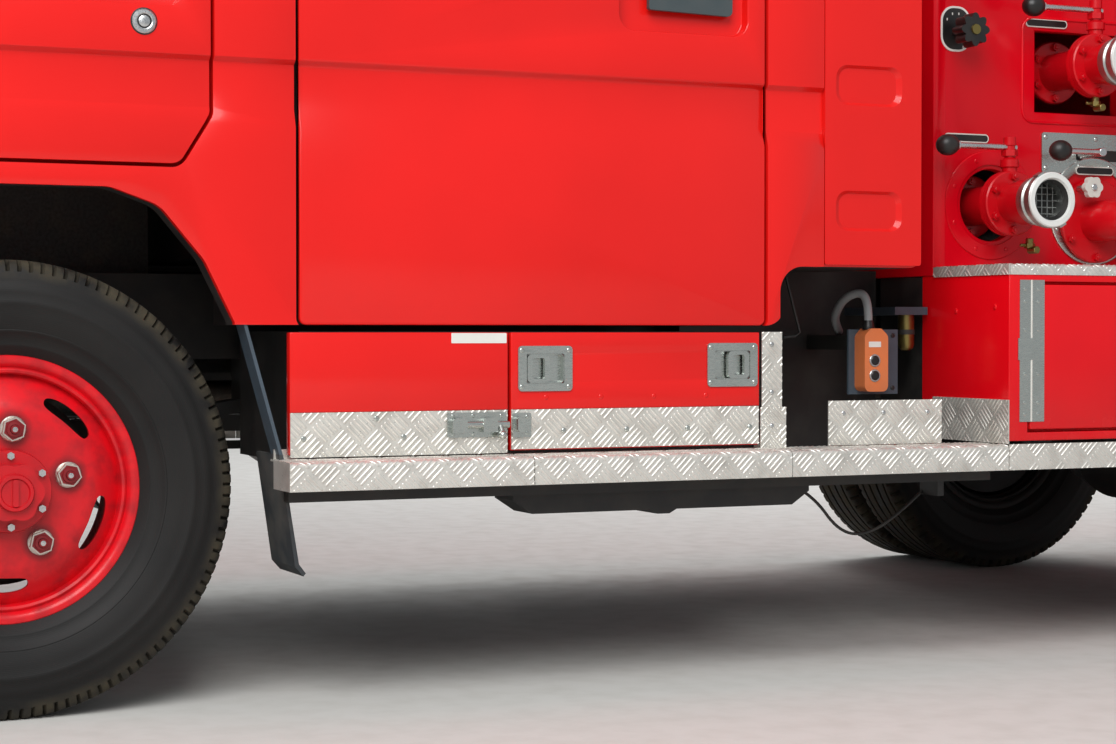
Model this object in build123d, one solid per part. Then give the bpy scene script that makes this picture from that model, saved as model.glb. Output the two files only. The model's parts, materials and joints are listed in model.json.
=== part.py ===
from build123d import *
import math
import os

# Crew-cab light pumper. Front faces -Y, the vehicle's left side is +X, up is +Z.
# All sizes are millimetres. The origin is on the ground at the middle of the length and width.

# Overall layout
WHEELBASE = 2900
FRONT_OVERHANG = 1060
REAR_OVERHANG = 1680
TRACK = 1400
BODY_WIDTH = 1880
STEP_REACH = 90
CAB_WIDTH = BODY_WIDTH - 2 * STEP_REACH
FRONT_AXLE_Y = FRONT_OVERHANG - (FRONT_OVERHANG + WHEELBASE + REAR_OVERHANG) / 2
REAR_AXLE_Y = FRONT_AXLE_Y + WHEELBASE
BODY_SIDE_X = BODY_WIDTH / 2
CAB_SIDE_X = CAB_WIDTH / 2

# Tyres and rims
TYRE_R = 380
TYRE_WIDTH = 200
TYRE_BORE_R = 203.5
TYRE_BULGE_R = 318
TYRE_SHOULDER = 18
TYRE_BEAD_INSET = 15
RIM_FLANGE_R = 226
RIM_WIDTH = 140
RIM_SEAT_R = 203.2
RIM_INNER_R = 192
RIM_LIP = 5.5
NUT_CIRCLE_R = 101.6
NUT_COUNT = 5
VENT_CIRCLE_R = 158
DUAL_SPACING = 224
DUAL_TYRE_WIDTH = 198
HUB_Z = TYRE_R

# Running gap between a shaft and its bore, and seat gap of a part that rests on another
RUN_GAP = 0.4
SEAT_GAP = 0.3

# Frame
RAIL_OUTER_X = 375
RAIL_FLANGE = 60
RAIL_HEIGHT = 160
RAIL_WALL = 8
RAIL_TOP_Z = HUB_Z + 370
RAIL_BOTTOM_Z = RAIL_TOP_Z - RAIL_HEIGHT

# Axles and steering
AXLE_TUBE_R = 42
KINGPIN_INSET = 140
KINGPIN_X = TRACK / 2 - KINGPIN_INSET
KNUCKLE_R = 58
SPINDLE_R = 28
SPRING_X = 340
SPRING_WIDTH = 60
SPRING_THICKNESS = 42
SPRING_SPAN = 1100
SPRING_SAG = 70

# Cab heights and stations
SILL_Z = HUB_Z + 273
BELT_Z = SILL_Z + 787
ROOF_Z = SILL_Z + 1567
CAB_REAR_LIFT = 112
BUMPER_LEAD = 20
NOSE_TUCK = 10
CAB_LENGTH_AHEAD = FRONT_OVERHANG - BUMPER_LEAD
CAB_REAR = 1735
CAB_NOSE = CAB_LENGTH_AHEAD - NOSE_TUCK
SCREEN_RAKE = 170
TUMBLEHOME = 40
DOOR_THICKNESS = 40
SKIN_THICKNESS = 12
CAB_WALL = 55
FLANGE_LAP = 18
DOOR_GAP = 6.5
INNER_SETBACK = 8
GLASS_INSET = 14
GLASS_THICKNESS = 6

# Under-cab lockers and steps
STEP_TOP_Z = HUB_Z + 44
STEP_LIP = 50
KICK_TOP_Z = HUB_Z + 123
LOCKER_TOP_Z = HUB_Z + 262
LOCKER_FRONT = 434
LOCKER_SPLIT = 868
LOCKER_REAR = 1376
PLATE_THICKNESS = 6
LOCKER_DOOR_THICKNESS = 20
LOCKER_WALL = 16
LOCKER_DEPTH = 380
LOCKER_INNER_X = CAB_SIDE_X - LOCKER_DEPTH

# Pump bay, side boxes and rear body
CAB_TO_BAY = 141
BAY_FRONT = CAB_REAR + CAB_TO_BAY
STEP_REAR = BAY_FRONT + 2
BAY_RECESS = 260
BAY_SIDE_X = BODY_SIDE_X - BAY_RECESS
BAY_LENGTH = 684
BAY_WALL = 25
BAY_TOP_Z = HUB_Z + 1270
BOX_BOTTOM_Z = HUB_Z + 50
BOX_LID_Z = HUB_Z + 375
BOX_REAR_CLEAR = 480
BOX_WALL = 20
LID_THICKNESS = 19
BODY_TOP_Z = HUB_Z + 1520
BODY_WALL = 40
ARCH_TOP_Z = HUB_Z + 500
BODY_SKIRT_Z = HUB_Z + 100
REAR_STEP_DEPTH = 80
REAR_BODY_END = REAR_OVERHANG - REAR_STEP_DEPTH


def fy(distance):
    """Y of a point this far behind the front axle."""
    return FRONT_AXLE_Y + distance


def ry(distance):
    """Y of a point this far behind the rear axle."""
    return REAR_AXLE_Y + distance


def by(distance):
    """Y of a point this far behind the front of the pump bay."""
    return fy(BAY_FRONT + distance)


def outline(points):
    """Closed face from a table of (u, v, corner radius)."""
    return make_face(
        FilletPolyline(*[(u, v) for u, v, r in points], radius=[r for u, v, r in points], close=True)
    )


def along_x(face, low, high):
    """Extrude a (Y, Z) face from X low to X high."""
    return extrude(Plane.YZ.offset(low) * face, amount=high - low)


def along_y(face, low, high):
    """Extrude an (X, Z) face from Y low to Y high."""
    return extrude(Plane.XZ.offset(-low) * face, amount=low - high)


def along_z(face, low, high):
    """Extrude an (X, Y) face from Z low to Z high."""
    return extrude(Plane.XY.offset(low) * face, amount=high - low)


def block(x0, x1, y0, y1, z0, z1):
    """Box between two corners."""
    return Pos((x0 + x1) / 2, (y0 + y1) / 2, (z0 + z1) / 2) * Box(x1 - x0, y1 - y0, z1 - z0)


def rod_x(x0, x1, y, z, radius):
    """Round bar along X."""
    return Pos((x0 + x1) / 2, y, z) * (Rot(0, 90, 0) * Cylinder(radius, x1 - x0))


def rod_y(x, y0, y1, z, radius):
    """Round bar along Y."""
    return Pos(x, (y0 + y1) / 2, z) * (Rot(90, 0, 0) * Cylinder(radius, y1 - y0))


def rod_z(x, y, z0, z1, radius):
    """Round bar along Z."""
    return Pos(x, y, (z0 + z1) / 2) * Cylinder(radius, z1 - z0)


def disc_x(profile, y, z):
    """Solid of revolution about the X axis through (y, z), from a table of (radius, x, corner)."""
    face = Plane.XY * outline([(x, r, c) for r, x, c in profile])
    return Pos(0, y, z) * revolve(face, Axis.X, 360)


def other_side(shape):
    """The same shape on the vehicle's right side."""
    return mirror(shape, about=Plane.YZ)


def pair(shape):
    """Left and right copies in one list."""
    return [shape, other_side(shape)]


nodes = {}


def keep(name, *shapes):
    """Store the shapes as one named node."""
    solids = []
    for shape in shapes:
        solids.extend(shape.solids())
    nodes[name] = Compound(children=solids) if len(solids) > 1 else solids[0]


# Cab envelope: side profile, front section and plan, each drawn in by the same inset
BAND_LOW_Z = SILL_Z + 336
BAND_HIGH_Z = BAND_LOW_Z + 30
CREASE_Z = BAND_LOW_Z + 114
CREASE_STEP = 8
BAND_DEPTH = 10

CAB_SIDE_PROFILE = [
    (fy(-CAB_NOSE), SILL_Z, 30),
    (fy(-CAB_LENGTH_AHEAD), BELT_Z - 90, 60),
    (fy(-CAB_LENGTH_AHEAD + SCREEN_RAKE), ROOF_Z - 90, 60),
    (fy(-CAB_LENGTH_AHEAD + SCREEN_RAKE + 110), ROOF_Z, 120),
    (fy(CAB_REAR), ROOF_Z, 60),
    (fy(CAB_REAR), SILL_Z + CAB_REAR_LIFT, 20),
    (fy(CAB_REAR - 250), SILL_Z + CAB_REAR_LIFT, 60),
    (fy(CAB_REAR - 323), SILL_Z, 40),
]


def section_solid(inset):
    """Front section of the cab over its whole length, drawn in by an inset."""
    half = CAB_SIDE_X - inset
    top_half = half - TUMBLEHOME
    low = SILL_Z - 50
    front = outline([
        (-half, low, 0),
        (half, low, 0),
        (half, BELT_Z, 200),
        (top_half, ROOF_Z - inset, 75 - inset),
        (-top_half, ROOF_Z - inset, 75 - inset),
        (-half, BELT_Z, 200),
    ])
    return along_y(front, fy(-CAB_LENGTH_AHEAD) - 10, fy(CAB_REAR) + 10)


def cab_solid(inset):
    """Cab envelope drawn in by an inset on every side."""
    side = offset(outline(CAB_SIDE_PROFILE), amount=-inset) if inset else outline(CAB_SIDE_PROFILE)
    half = CAB_SIDE_X - inset
    nose = fy(-CAB_LENGTH_AHEAD) + inset
    tail = fy(CAB_REAR) - inset
    corner = 110 - inset
    plan = outline([
        (-half, nose, corner),
        (half, nose, corner),
        (half, tail, 0),
        (-half, tail, 0),
    ])
    body = along_x(side, -CAB_SIDE_X, CAB_SIDE_X)
    body &= section_solid(inset)
    body &= along_z(plan, SILL_Z - 40, ROOF_Z + 10)
    return body


def side_groove():
    """Pressed groove between the lit band and the upper crease, on the left side."""
    edge = CAB_SIDE_X
    face = outline([
        (edge + 6, BAND_LOW_Z, 0),
        (edge, BAND_LOW_Z, 0),
        (edge - BAND_DEPTH, BAND_HIGH_Z, 0),
        (edge - BAND_DEPTH, CREASE_Z - CREASE_STEP, 0),
        (edge, CREASE_Z, 0),
        (edge + 6, CREASE_Z, 0),
    ])
    return along_y(face, fy(-CAB_LENGTH_AHEAD) + 140, fy(CAB_REAR) + 5)


# Doors: outline corners as (Y behind the front axle, Z, corner radius)
DOOR_BOTTOM_Z = SILL_Z + 268
DOOR_TOP_Z = ROOF_Z - 105
WINDOW_LOW_Z = BELT_Z + 15
WINDOW_HIGH_Z = DOOR_TOP_Z - 65
FRONT_DOOR_FRONT = -700
FRONT_DOOR_REAR = 326
REAR_DOOR_FRONT = 480
REAR_DOOR_REAR = 1388
PILLAR_SLOPE = 120

FRONT_DOOR = [
    (fy(FRONT_DOOR_FRONT), DOOR_BOTTOM_Z, 20),
    (fy(FRONT_DOOR_REAR - 54), DOOR_BOTTOM_Z, 25),
    (fy(FRONT_DOOR_REAR), DOOR_BOTTOM_Z + 87, 25),
    (fy(FRONT_DOOR_REAR), DOOR_TOP_Z, 40),
    (fy(FRONT_DOOR_FRONT + PILLAR_SLOPE), DOOR_TOP_Z, 40),
    (fy(FRONT_DOOR_FRONT), BELT_Z, 60),
]
FRONT_WINDOW = [
    (fy(FRONT_DOOR_FRONT + 70), WINDOW_LOW_Z, 40),
    (fy(FRONT_DOOR_REAR - 62), WINDOW_LOW_Z, 40),
    (fy(FRONT_DOOR_REAR - 62), WINDOW_HIGH_Z, 50),
    (fy(FRONT_DOOR_FRONT + 70 + PILLAR_SLOPE * 0.85), WINDOW_HIGH_Z, 60),
]
REAR_DOOR = [
    (fy(REAR_DOOR_FRONT), SILL_Z, 12),
    (fy(REAR_DOOR_REAR), SILL_Z, 12),
    (fy(REAR_DOOR_REAR), DOOR_TOP_Z, 40),
    (fy(REAR_DOOR_FRONT), DOOR_TOP_Z, 40),
]
REAR_WINDOW = [
    (fy(REAR_DOOR_FRONT + 62), WINDOW_LOW_Z, 40),
    (fy(REAR_DOOR_REAR - 62), WINDOW_LOW_Z, 40),
    (fy(REAR_DOOR_REAR - 62), WINDOW_HIGH_Z, 50),
    (fy(REAR_DOOR_FRONT + 62), WINDOW_HIGH_Z, 50),
]
WINDSCREEN = [
    (-CAB_SIDE_X + 95, BELT_Z - 20, 60),
    (CAB_SIDE_X - 95, BELT_Z - 20, 60),
    (CAB_SIDE_X - 125, ROOF_Z - 130, 70),
    (-CAB_SIDE_X + 125, ROOF_Z - 130, 70),
]
BACK_WINDOW = [
    (-480, BELT_Z + 60, 50),
    (480, BELT_Z + 60, 50),
    (480, ROOF_Z - 180, 50),
    (-480, ROOF_Z - 180, 50),
]

SIDE_DEPTH = CAB_SIDE_X - TUMBLEHOME - CAB_WALL - 5
cab_outer = cab_solid(0)
cab_skin = section_solid(SKIN_THICKNESS)
cab_door_back = section_solid(DOOR_THICKNESS)
cab_seat = section_solid(DOOR_THICKNESS + SEAT_GAP)
CAB_ROOM_PROFILE = [
    (fy(-CAB_LENGTH_AHEAD) + CAB_WALL, SILL_Z + CAB_WALL, 0),
    (fy(-CAB_LENGTH_AHEAD) + CAB_WALL, BELT_Z - 90, 0),
    (fy(-CAB_LENGTH_AHEAD + SCREEN_RAKE) + CAB_WALL, ROOF_Z - 90, 0),
    (fy(-CAB_LENGTH_AHEAD + SCREEN_RAKE + 110) + CAB_WALL, ROOF_Z - CAB_WALL, 0),
    (fy(CAB_REAR) - CAB_WALL, ROOF_Z - CAB_WALL, 0),
    (fy(CAB_REAR) - CAB_WALL, SILL_Z + CAB_REAR_LIFT + CAB_WALL, 0),
    (fy(CAB_REAR - 323), SILL_Z + CAB_REAR_LIFT + CAB_WALL, 0),
    (fy(CAB_REAR - 323) - CAB_WALL, SILL_Z + CAB_WALL, 0),
]
ROOM_HALF = CAB_SIDE_X - CAB_WALL
ROOM_TOP_HALF = ROOM_HALF - TUMBLEHOME - 8
cab_inner = along_x(outline(CAB_ROOM_PROFILE), -ROOM_HALF, ROOM_HALF)
cab_inner &= along_y(outline([
    (-ROOM_HALF, SILL_Z - 60, 0),
    (ROOM_HALF, SILL_Z - 60, 0),
    (ROOM_HALF, BELT_Z, 0),
    (ROOM_TOP_HALF, ROOF_Z - CAB_WALL - 20, 0),
    (ROOM_TOP_HALF - 20, ROOF_Z - CAB_WALL, 0),
    (20 - ROOM_TOP_HALF, ROOF_Z - CAB_WALL, 0),
    (-ROOM_TOP_HALF, ROOF_Z - CAB_WALL - 20, 0),
    (-ROOM_HALF, BELT_Z, 0),
]), fy(-CAB_LENGTH_AHEAD) - 10, fy(CAB_REAR) + 10)
groove = side_groove()
grooved = cab_outer - groove - other_side(groove)


def grown(points, amount):
    """Face of an outline grown or shrunk by an amount."""
    return offset(outline(points), amount=amount)


HANDLE_DISH_DEPTH = 22
HANDLE_DISH_HEIGHT = 128
HANDLE_DISH_CORNER = 30


def handle_dish(low_y, high_y, low_z):
    """Dished recess in a left door, round the flap handle."""
    high_z = low_z + HANDLE_DISH_HEIGHT
    face = outline([
        (low_y, low_z, HANDLE_DISH_CORNER),
        (high_y, low_z, HANDLE_DISH_CORNER),
        (high_y, high_z, HANDLE_DISH_CORNER),
        (low_y, high_z, HANDLE_DISH_CORNER),
    ])
    return along_x(face, CAB_SIDE_X - HANDLE_DISH_DEPTH, CAB_SIDE_X + 20)


def door_panel(points, window):
    """Left door: skin with a lapped edge over a narrower inner frame, window cut."""
    reach = (SIDE_DEPTH, CAB_SIDE_X + 20)
    skin = along_x(outline(points), *reach) & (grooved - cab_skin)
    frame = along_x(grown(points, -INNER_SETBACK), *reach) & (cab_skin - cab_door_back)
    return (skin + frame) - along_x(outline(window), *reach)


def door_glass(window):
    """Left door glass, which fills the window cut."""
    outer = section_solid(GLASS_INSET)
    inner = section_solid(GLASS_INSET + GLASS_THICKNESS)
    return along_x(outline(window), SIDE_DEPTH, CAB_SIDE_X + 20) & (outer - inner)


def door_opening(points, floor_z):
    """What a left door takes out of the cab wall, with the lap it closes on left standing."""
    reach = (SIDE_DEPTH, CAB_SIDE_X + 20)
    seat = along_x(grown(points, DOOR_GAP), *reach) - cab_seat
    hole = along_x(grown(points, -FLANGE_LAP), *reach)
    hole -= block(0, CAB_SIDE_X + 30, fy(-CAB_NOSE), fy(CAB_REAR), SILL_Z - 60, floor_z)
    return seat + hole


# Wheel arch in the cab side, as (Y behind the axle, Z above the hub)
ARCH_LOW = 366
ARCH_SIDE = [
    (fy(-ARCH_LOW), SILL_Z - 60, 0),
    (fy(ARCH_LOW), SILL_Z - 60, 0),
    (fy(ARCH_LOW), SILL_Z + 4, 0),
    (fy(314), SILL_Z + 108, 60),
    (fy(238), SILL_Z + 198, 60),
    (fy(155), SILL_Z + 227, 60),
    (fy(-155), SILL_Z + 227, 60),
    (fy(-238), SILL_Z + 198, 60),
    (fy(-314), SILL_Z + 108, 60),
    (fy(-ARCH_LOW), SILL_Z + 4, 0),
]
FLOOR_FRONT_Z = SILL_Z + 347
FLOOR_REAR_Z = SILL_Z + CAB_REAR_LIFT + CAB_WALL
FLOOR_SLAB = 40
RISER_Y = 460
WELL_X = 560
BAY_INNER_X = CAB_SIDE_X - CAB_WALL

cavity = cab_inner
cavity -= block(-CAB_SIDE_X, CAB_SIDE_X, fy(-1100), fy(RISER_Y), SILL_Z - 60, FLOOR_FRONT_Z)
cavity -= block(-WELL_X, WELL_X, fy(RISER_Y) - 1, fy(CAB_REAR), SILL_Z - 60, FLOOR_REAR_Z)
under = block(-BAY_INNER_X, BAY_INNER_X, fy(-CAB_NOSE) + 50, fy(RISER_Y - FLOOR_SLAB),
              SILL_Z - 60, FLOOR_FRONT_Z - FLOOR_SLAB)
under += block(-WELL_X + FLOOR_SLAB, WELL_X - FLOOR_SLAB, fy(RISER_Y) - 60, fy(CAB_REAR) + 10,
               SILL_Z - 60, FLOOR_REAR_Z - FLOOR_SLAB)
arch = along_x(outline(ARCH_SIDE), 400, CAB_SIDE_X + 20)
cab = grooved - cavity - under - arch - other_side(arch)
for points, floor_z in ((FRONT_DOOR, FLOOR_FRONT_Z), (REAR_DOOR, SILL_Z + CAB_WALL)):
    opening = door_opening(points, floor_z)
    cab -= opening
    cab -= other_side(opening)
cab -= along_y(outline(WINDSCREEN), fy(-CAB_LENGTH_AHEAD) - 20, fy(-CAB_LENGTH_AHEAD) + 320)
cab -= along_y(outline(BACK_WINDOW), fy(CAB_REAR) - 80, fy(CAB_REAR) + 20)

# Grille opening and lamp seats in the nose panel
GRILLE_LOW_Z = SILL_Z + 235
GRILLE_HIGH_Z = SILL_Z + 395
LAMP_INSET = 190
LAMP_X = CAB_SIDE_X - LAMP_INSET
LAMP_Z = SILL_Z + 130
LAMP_R = 88
GRILLE_HALF = LAMP_X - LAMP_R - 52
grille_face = [
    (-GRILLE_HALF, GRILLE_LOW_Z, 20),
    (GRILLE_HALF, GRILLE_LOW_Z, 20),
    (GRILLE_HALF, GRILLE_HIGH_Z, 20),
    (-GRILLE_HALF, GRILLE_HIGH_Z, 20),
]
NOSE_Y = fy(-CAB_LENGTH_AHEAD)
cab -= along_y(outline(grille_face), NOSE_Y - 20, NOSE_Y + 30)
for sign in (-1, 1):
    cab -= rod_y(sign * LAMP_X, NOSE_Y - 20, NOSE_Y + 42, LAMP_Z, LAMP_R)
keep("cab_shell", cab)

glass_sheet = cab_solid(GLASS_INSET) - cab_solid(GLASS_INSET + GLASS_THICKNESS)
screen = along_y(outline(WINDSCREEN), NOSE_Y - 20, NOSE_Y + 320) & glass_sheet
back_glass = along_y(outline(BACK_WINDOW), fy(CAB_REAR) - 80, fy(CAB_REAR) + 20) & glass_sheet
keep("cab_glass", screen, back_glass)

for name, points, window, dish in (
    ("front", FRONT_DOOR, FRONT_WINDOW, handle_dish(fy(73), fy(280), SILL_Z + 529)),
    ("rear", REAR_DOOR, REAR_WINDOW, handle_dish(fy(1086), fy(1350), SILL_Z + 537)),
):
    panel = door_panel(points, window) - dish
    glass = door_glass(window)
    keep(f"door_{name}_left", panel)
    keep(f"door_{name}_right", other_side(panel))
    keep(f"door_glass_{name}_left", glass)
    keep(f"door_glass_{name}_right", other_side(glass))

# Grille with slats, headlamps and bumper
GRILLE_SLATS = 5
GRILLE_DEPTH = 18
grille = along_y(outline(grille_face), NOSE_Y + 6, NOSE_Y + 6 + GRILLE_DEPTH)
slat_pitch = (GRILLE_HIGH_Z - GRILLE_LOW_Z - 20) / GRILLE_SLATS
for index in range(GRILLE_SLATS):
    low = GRILLE_LOW_Z + 14 + index * slat_pitch
    grille -= block(-GRILLE_HALF + 20, GRILLE_HALF - 20, NOSE_Y, NOSE_Y + 18, low, low + slat_pitch * 0.55)
keep("grille", grille)

lamps = []
for sign in (-1, 1):
    bowl = rod_y(sign * LAMP_X, NOSE_Y + 6, NOSE_Y + 42, LAMP_Z, LAMP_R)
    lamps.append(bowl)
keep("headlamps", *lamps)

BUMPER_LOW_Z = SILL_Z - 175
BUMPER_HIGH_Z = SILL_Z + 20
BUMPER_Y = fy(-FRONT_OVERHANG)
bumper_plan = [
    (-CAB_SIDE_X + 5, BUMPER_Y, 90),
    (CAB_SIDE_X - 5, BUMPER_Y, 90),
    (CAB_SIDE_X - 5, BUMPER_Y + 330, 0),
    (-CAB_SIDE_X + 5, BUMPER_Y + 330, 0),
]
bumper = along_z(outline(bumper_plan), BUMPER_LOW_Z, BUMPER_HIGH_Z)
bumper -= along_z(offset(outline(bumper_plan), amount=-20), BUMPER_LOW_Z - 5, BUMPER_HIGH_Z + 5)
bumper -= block(-CAB_SIDE_X, CAB_SIDE_X, BUMPER_Y + 300, BUMPER_Y + 340, BUMPER_LOW_Z - 5, BUMPER_HIGH_Z + 5)
bumper -= cab_outer
# Bumper brackets on the rail ends
RAIL_SETBACK = 110
RAIL_FRONT = RAIL_SETBACK - CAB_LENGTH_AHEAD
RAIL_MID_X = RAIL_OUTER_X - RAIL_FLANGE / 2
for sign in (-1, 1):
    bumper += block(sign * RAIL_MID_X - 25, sign * RAIL_MID_X + 25, BUMPER_Y + 15, fy(RAIL_FRONT), RAIL_BOTTOM_Z - 10,
                    RAIL_BOTTOM_Z + 60)
keep("front_bumper", bumper)

# Frame rails: channels that open inwards, and tubular crossmembers
RAIL_REAR_END = REAR_BODY_END - 120
rail_face = outline([
    (RAIL_OUTER_X, RAIL_BOTTOM_Z, 0),
    (RAIL_OUTER_X, RAIL_TOP_Z, 0),
    (RAIL_OUTER_X - RAIL_FLANGE, RAIL_TOP_Z, 0),
    (RAIL_OUTER_X - RAIL_FLANGE, RAIL_TOP_Z - RAIL_WALL, 0),
    (RAIL_OUTER_X - RAIL_WALL, RAIL_TOP_Z - RAIL_WALL, 0),
    (RAIL_OUTER_X - RAIL_WALL, RAIL_BOTTOM_Z + RAIL_WALL, 0),
    (RAIL_OUTER_X - RAIL_FLANGE, RAIL_BOTTOM_Z + RAIL_WALL, 0),
    (RAIL_OUTER_X - RAIL_FLANGE, RAIL_BOTTOM_Z, 0),
])
rail = along_y(rail_face, fy(RAIL_FRONT), ry(RAIL_REAR_END))
CROSSMEMBER_R = 38
WEB_X = RAIL_OUTER_X - RAIL_WALL
frame_solids = pair(rail)
for y in (fy(RAIL_FRONT + 60), fy(CAB_REAR - 405), by(-36), ry(-SPRING_SPAN / 2 - 10), ry(SPRING_SPAN / 2 + 70),
          ry(RAIL_REAR_END - 60)):
    frame_solids.append(rod_x(-WEB_X, WEB_X, y, RAIL_BOTTOM_Z + RAIL_HEIGHT / 2, CROSSMEMBER_R))
# Cab mounts that stand on the rails
MOUNT_TOP_Z = FLOOR_REAR_Z - FLOOR_SLAB
MOUNT_LENGTH = 100
for low_y, top_z in (
    (fy(RAIL_FRONT + 30), FLOOR_FRONT_Z - FLOOR_SLAB),
    (fy(REAR_DOOR_FRONT + 170), MOUNT_TOP_Z),
    (fy(CAB_REAR - 185), MOUNT_TOP_Z),
):
    mount = block(RAIL_OUTER_X - RAIL_FLANGE, RAIL_OUTER_X, low_y, low_y + MOUNT_LENGTH, RAIL_TOP_Z, top_z)
    frame_solids.extend(pair(mount))


# Axles with leaf springs and hangers
def spring_set(axle_y):
    """Leaf spring, its two hangers and its axle clamp on the left rail."""
    base = HUB_Z + AXLE_TUBE_R + 6
    half = SPRING_SPAN / 2
    low = make_face(
        Edge.make_three_point_arc((-half, base + SPRING_SAG), (0, base), (half, base + SPRING_SAG))
        + Edge.make_line((half, base + SPRING_SAG), (half, base + SPRING_SAG + SPRING_THICKNESS * 0.5))
        + Edge.make_three_point_arc(
            (half, base + SPRING_SAG + SPRING_THICKNESS * 0.5),
            (0, base + SPRING_THICKNESS),
            (-half, base + SPRING_SAG + SPRING_THICKNESS * 0.5),
        )
        + Edge.make_line((-half, base + SPRING_SAG + SPRING_THICKNESS * 0.5), (-half, base + SPRING_SAG))
    )
    low_x = SPRING_X - SPRING_WIDTH / 2
    high_x = SPRING_X + SPRING_WIDTH / 2
    leaf = Pos(0, axle_y, 0) * along_x(low, low_x, high_x)
    for side in (-1, 1):
        y = axle_y + side * (half - 15)
        leaf += block(low_x, high_x, y - 22, y + 22, base + SPRING_SAG - 12, RAIL_BOTTOM_Z)
    leaf += block(low_x - 8, high_x + 8, axle_y - 55, axle_y + 55, HUB_Z - AXLE_TUBE_R + 10, base + 30)
    return leaf


def banjo(centre_x, axle_y, radius):
    """Differential housing that swells out of the axle tube."""
    return disc_x([
        (0, centre_x - radius * 1.3, 0),
        (AXLE_TUBE_R + 4, centre_x - radius * 1.3, 0),
        (radius * 0.8, centre_x - radius * 0.6, 0),
        (radius, centre_x, 0),
        (radius * 0.8, centre_x + radius * 0.6, 0),
        (AXLE_TUBE_R + 4, centre_x + radius * 1.3, 0),
        (0, centre_x + radius * 1.3, 0),
    ], axle_y, HUB_Z)


DIFF_R = 135
front_axle = rod_x(-KINGPIN_X + KNUCKLE_R, KINGPIN_X - KNUCKLE_R, FRONT_AXLE_Y, HUB_Z, AXLE_TUBE_R)
front_axle += banjo(-90, FRONT_AXLE_Y, DIFF_R)
front_axle += rod_y(-90, FRONT_AXLE_Y, FRONT_AXLE_Y + 230, HUB_Z, 55)
for leaf in pair(spring_set(FRONT_AXLE_Y)):
    front_axle += leaf
# Forks of the front axle, with the kingpins
FORK_GAP = 75
FORK_ARM = 26
FORK_WEB = 24
FORK_ROOT_X = KINGPIN_X - 90
FORK_TIP_X = KINGPIN_X + 30
fork = block(FORK_ROOT_X, FORK_TIP_X, FRONT_AXLE_Y - 40, FRONT_AXLE_Y + 40,
             HUB_Z - FORK_GAP - FORK_ARM, HUB_Z + FORK_GAP + FORK_ARM)
fork -= block(FORK_ROOT_X + FORK_WEB, FORK_TIP_X + 5, FRONT_AXLE_Y - 45, FRONT_AXLE_Y + 45,
              HUB_Z - FORK_GAP, HUB_Z + FORK_GAP)
for side in (-1, 1):
    low = min(side * (FORK_GAP - 12), side * FORK_GAP)
    fork += rod_z(KINGPIN_X, FRONT_AXLE_Y, HUB_Z + low, HUB_Z + low + 12, 16)
for arm in pair(fork):
    front_axle += arm
keep("front_axle", front_axle)

DUAL_CENTRE_X = TRACK / 2 + 17.5
REAR_SPINDLE_END = DUAL_CENTRE_X + 30
rear_axle = rod_x(-REAR_SPINDLE_END, REAR_SPINDLE_END, REAR_AXLE_Y, HUB_Z, AXLE_TUBE_R)
rear_axle += banjo(0, REAR_AXLE_Y, DIFF_R + 20)
rear_axle += rod_y(0, REAR_AXLE_Y - 260, REAR_AXLE_Y, HUB_Z, 60)
for leaf in pair(spring_set(REAR_AXLE_Y)):
    rear_axle += leaf
keep("rear_axle", rear_axle)

# Steering knuckles: housing between the forks, spindle into the hub
knuckle = Pos(KINGPIN_X, FRONT_AXLE_Y, HUB_Z) * Cylinder(KNUCKLE_R, 2 * (FORK_GAP - RUN_GAP))
knuckle -= Pos(KINGPIN_X, FRONT_AXLE_Y, HUB_Z + FORK_GAP) * Cylinder(16 + RUN_GAP, 26)
knuckle -= Pos(KINGPIN_X, FRONT_AXLE_Y, HUB_Z - FORK_GAP) * Cylinder(16 + RUN_GAP, 26)
SPINDLE_END_X = TRACK / 2 + 40
knuckle += rod_x(KINGPIN_X, SPINDLE_END_X, FRONT_AXLE_Y, HUB_Z, SPINDLE_R)
knuckle += rod_x(KINGPIN_X + 30, KINGPIN_X + 62, FRONT_AXLE_Y, HUB_Z, 60)
keep("knuckle_left", knuckle)
keep("knuckle_right", other_side(knuckle))


# Wheels
def tyre_ring(centre_x, width, axle_y):
    """Tyre from its bead seat out over the bulge of the sidewalls to the tread."""
    half = width / 2
    bead = RIM_WIDTH / 2 - TYRE_BEAD_INSET
    return disc_x([
        (TYRE_BORE_R, centre_x - bead, 0),
        (TYRE_BULGE_R, centre_x - half, 0),
        (TYRE_R, centre_x - half + TYRE_SHOULDER, 0),
        (TYRE_R, centre_x + half - TYRE_SHOULDER, 0),
        (TYRE_BULGE_R, centre_x + half, 0),
        (TYRE_BORE_R, centre_x + bead, 0),
    ], axle_y, HUB_Z)


def rim_barrel(centre_x, axle_y):
    """Rim barrel with its two flanges."""
    half = RIM_WIDTH / 2
    return disc_x([
        (RIM_INNER_R, centre_x - half, 0),
        (RIM_FLANGE_R, centre_x - half, 0),
        (RIM_FLANGE_R, centre_x - half + RIM_LIP, 0),
        (RIM_SEAT_R, centre_x - half + RIM_LIP, 0),
        (RIM_SEAT_R, centre_x + half - RIM_LIP, 0),
        (RIM_FLANGE_R, centre_x + half - RIM_LIP, 0),
        (RIM_FLANGE_R, centre_x + half, 0),
        (RIM_INNER_R, centre_x + half, 0),
    ], axle_y, HUB_Z)


# Vent slot as (along the rim, across it, corner radius)
VENT_SLOT = [
    (-45, 0, 0),
    (-32, 13, 0),
    (32, 13, 0),
    (45, 0, 0),
    (32, -13, 0),
    (-32, -13, 0),
]


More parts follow.
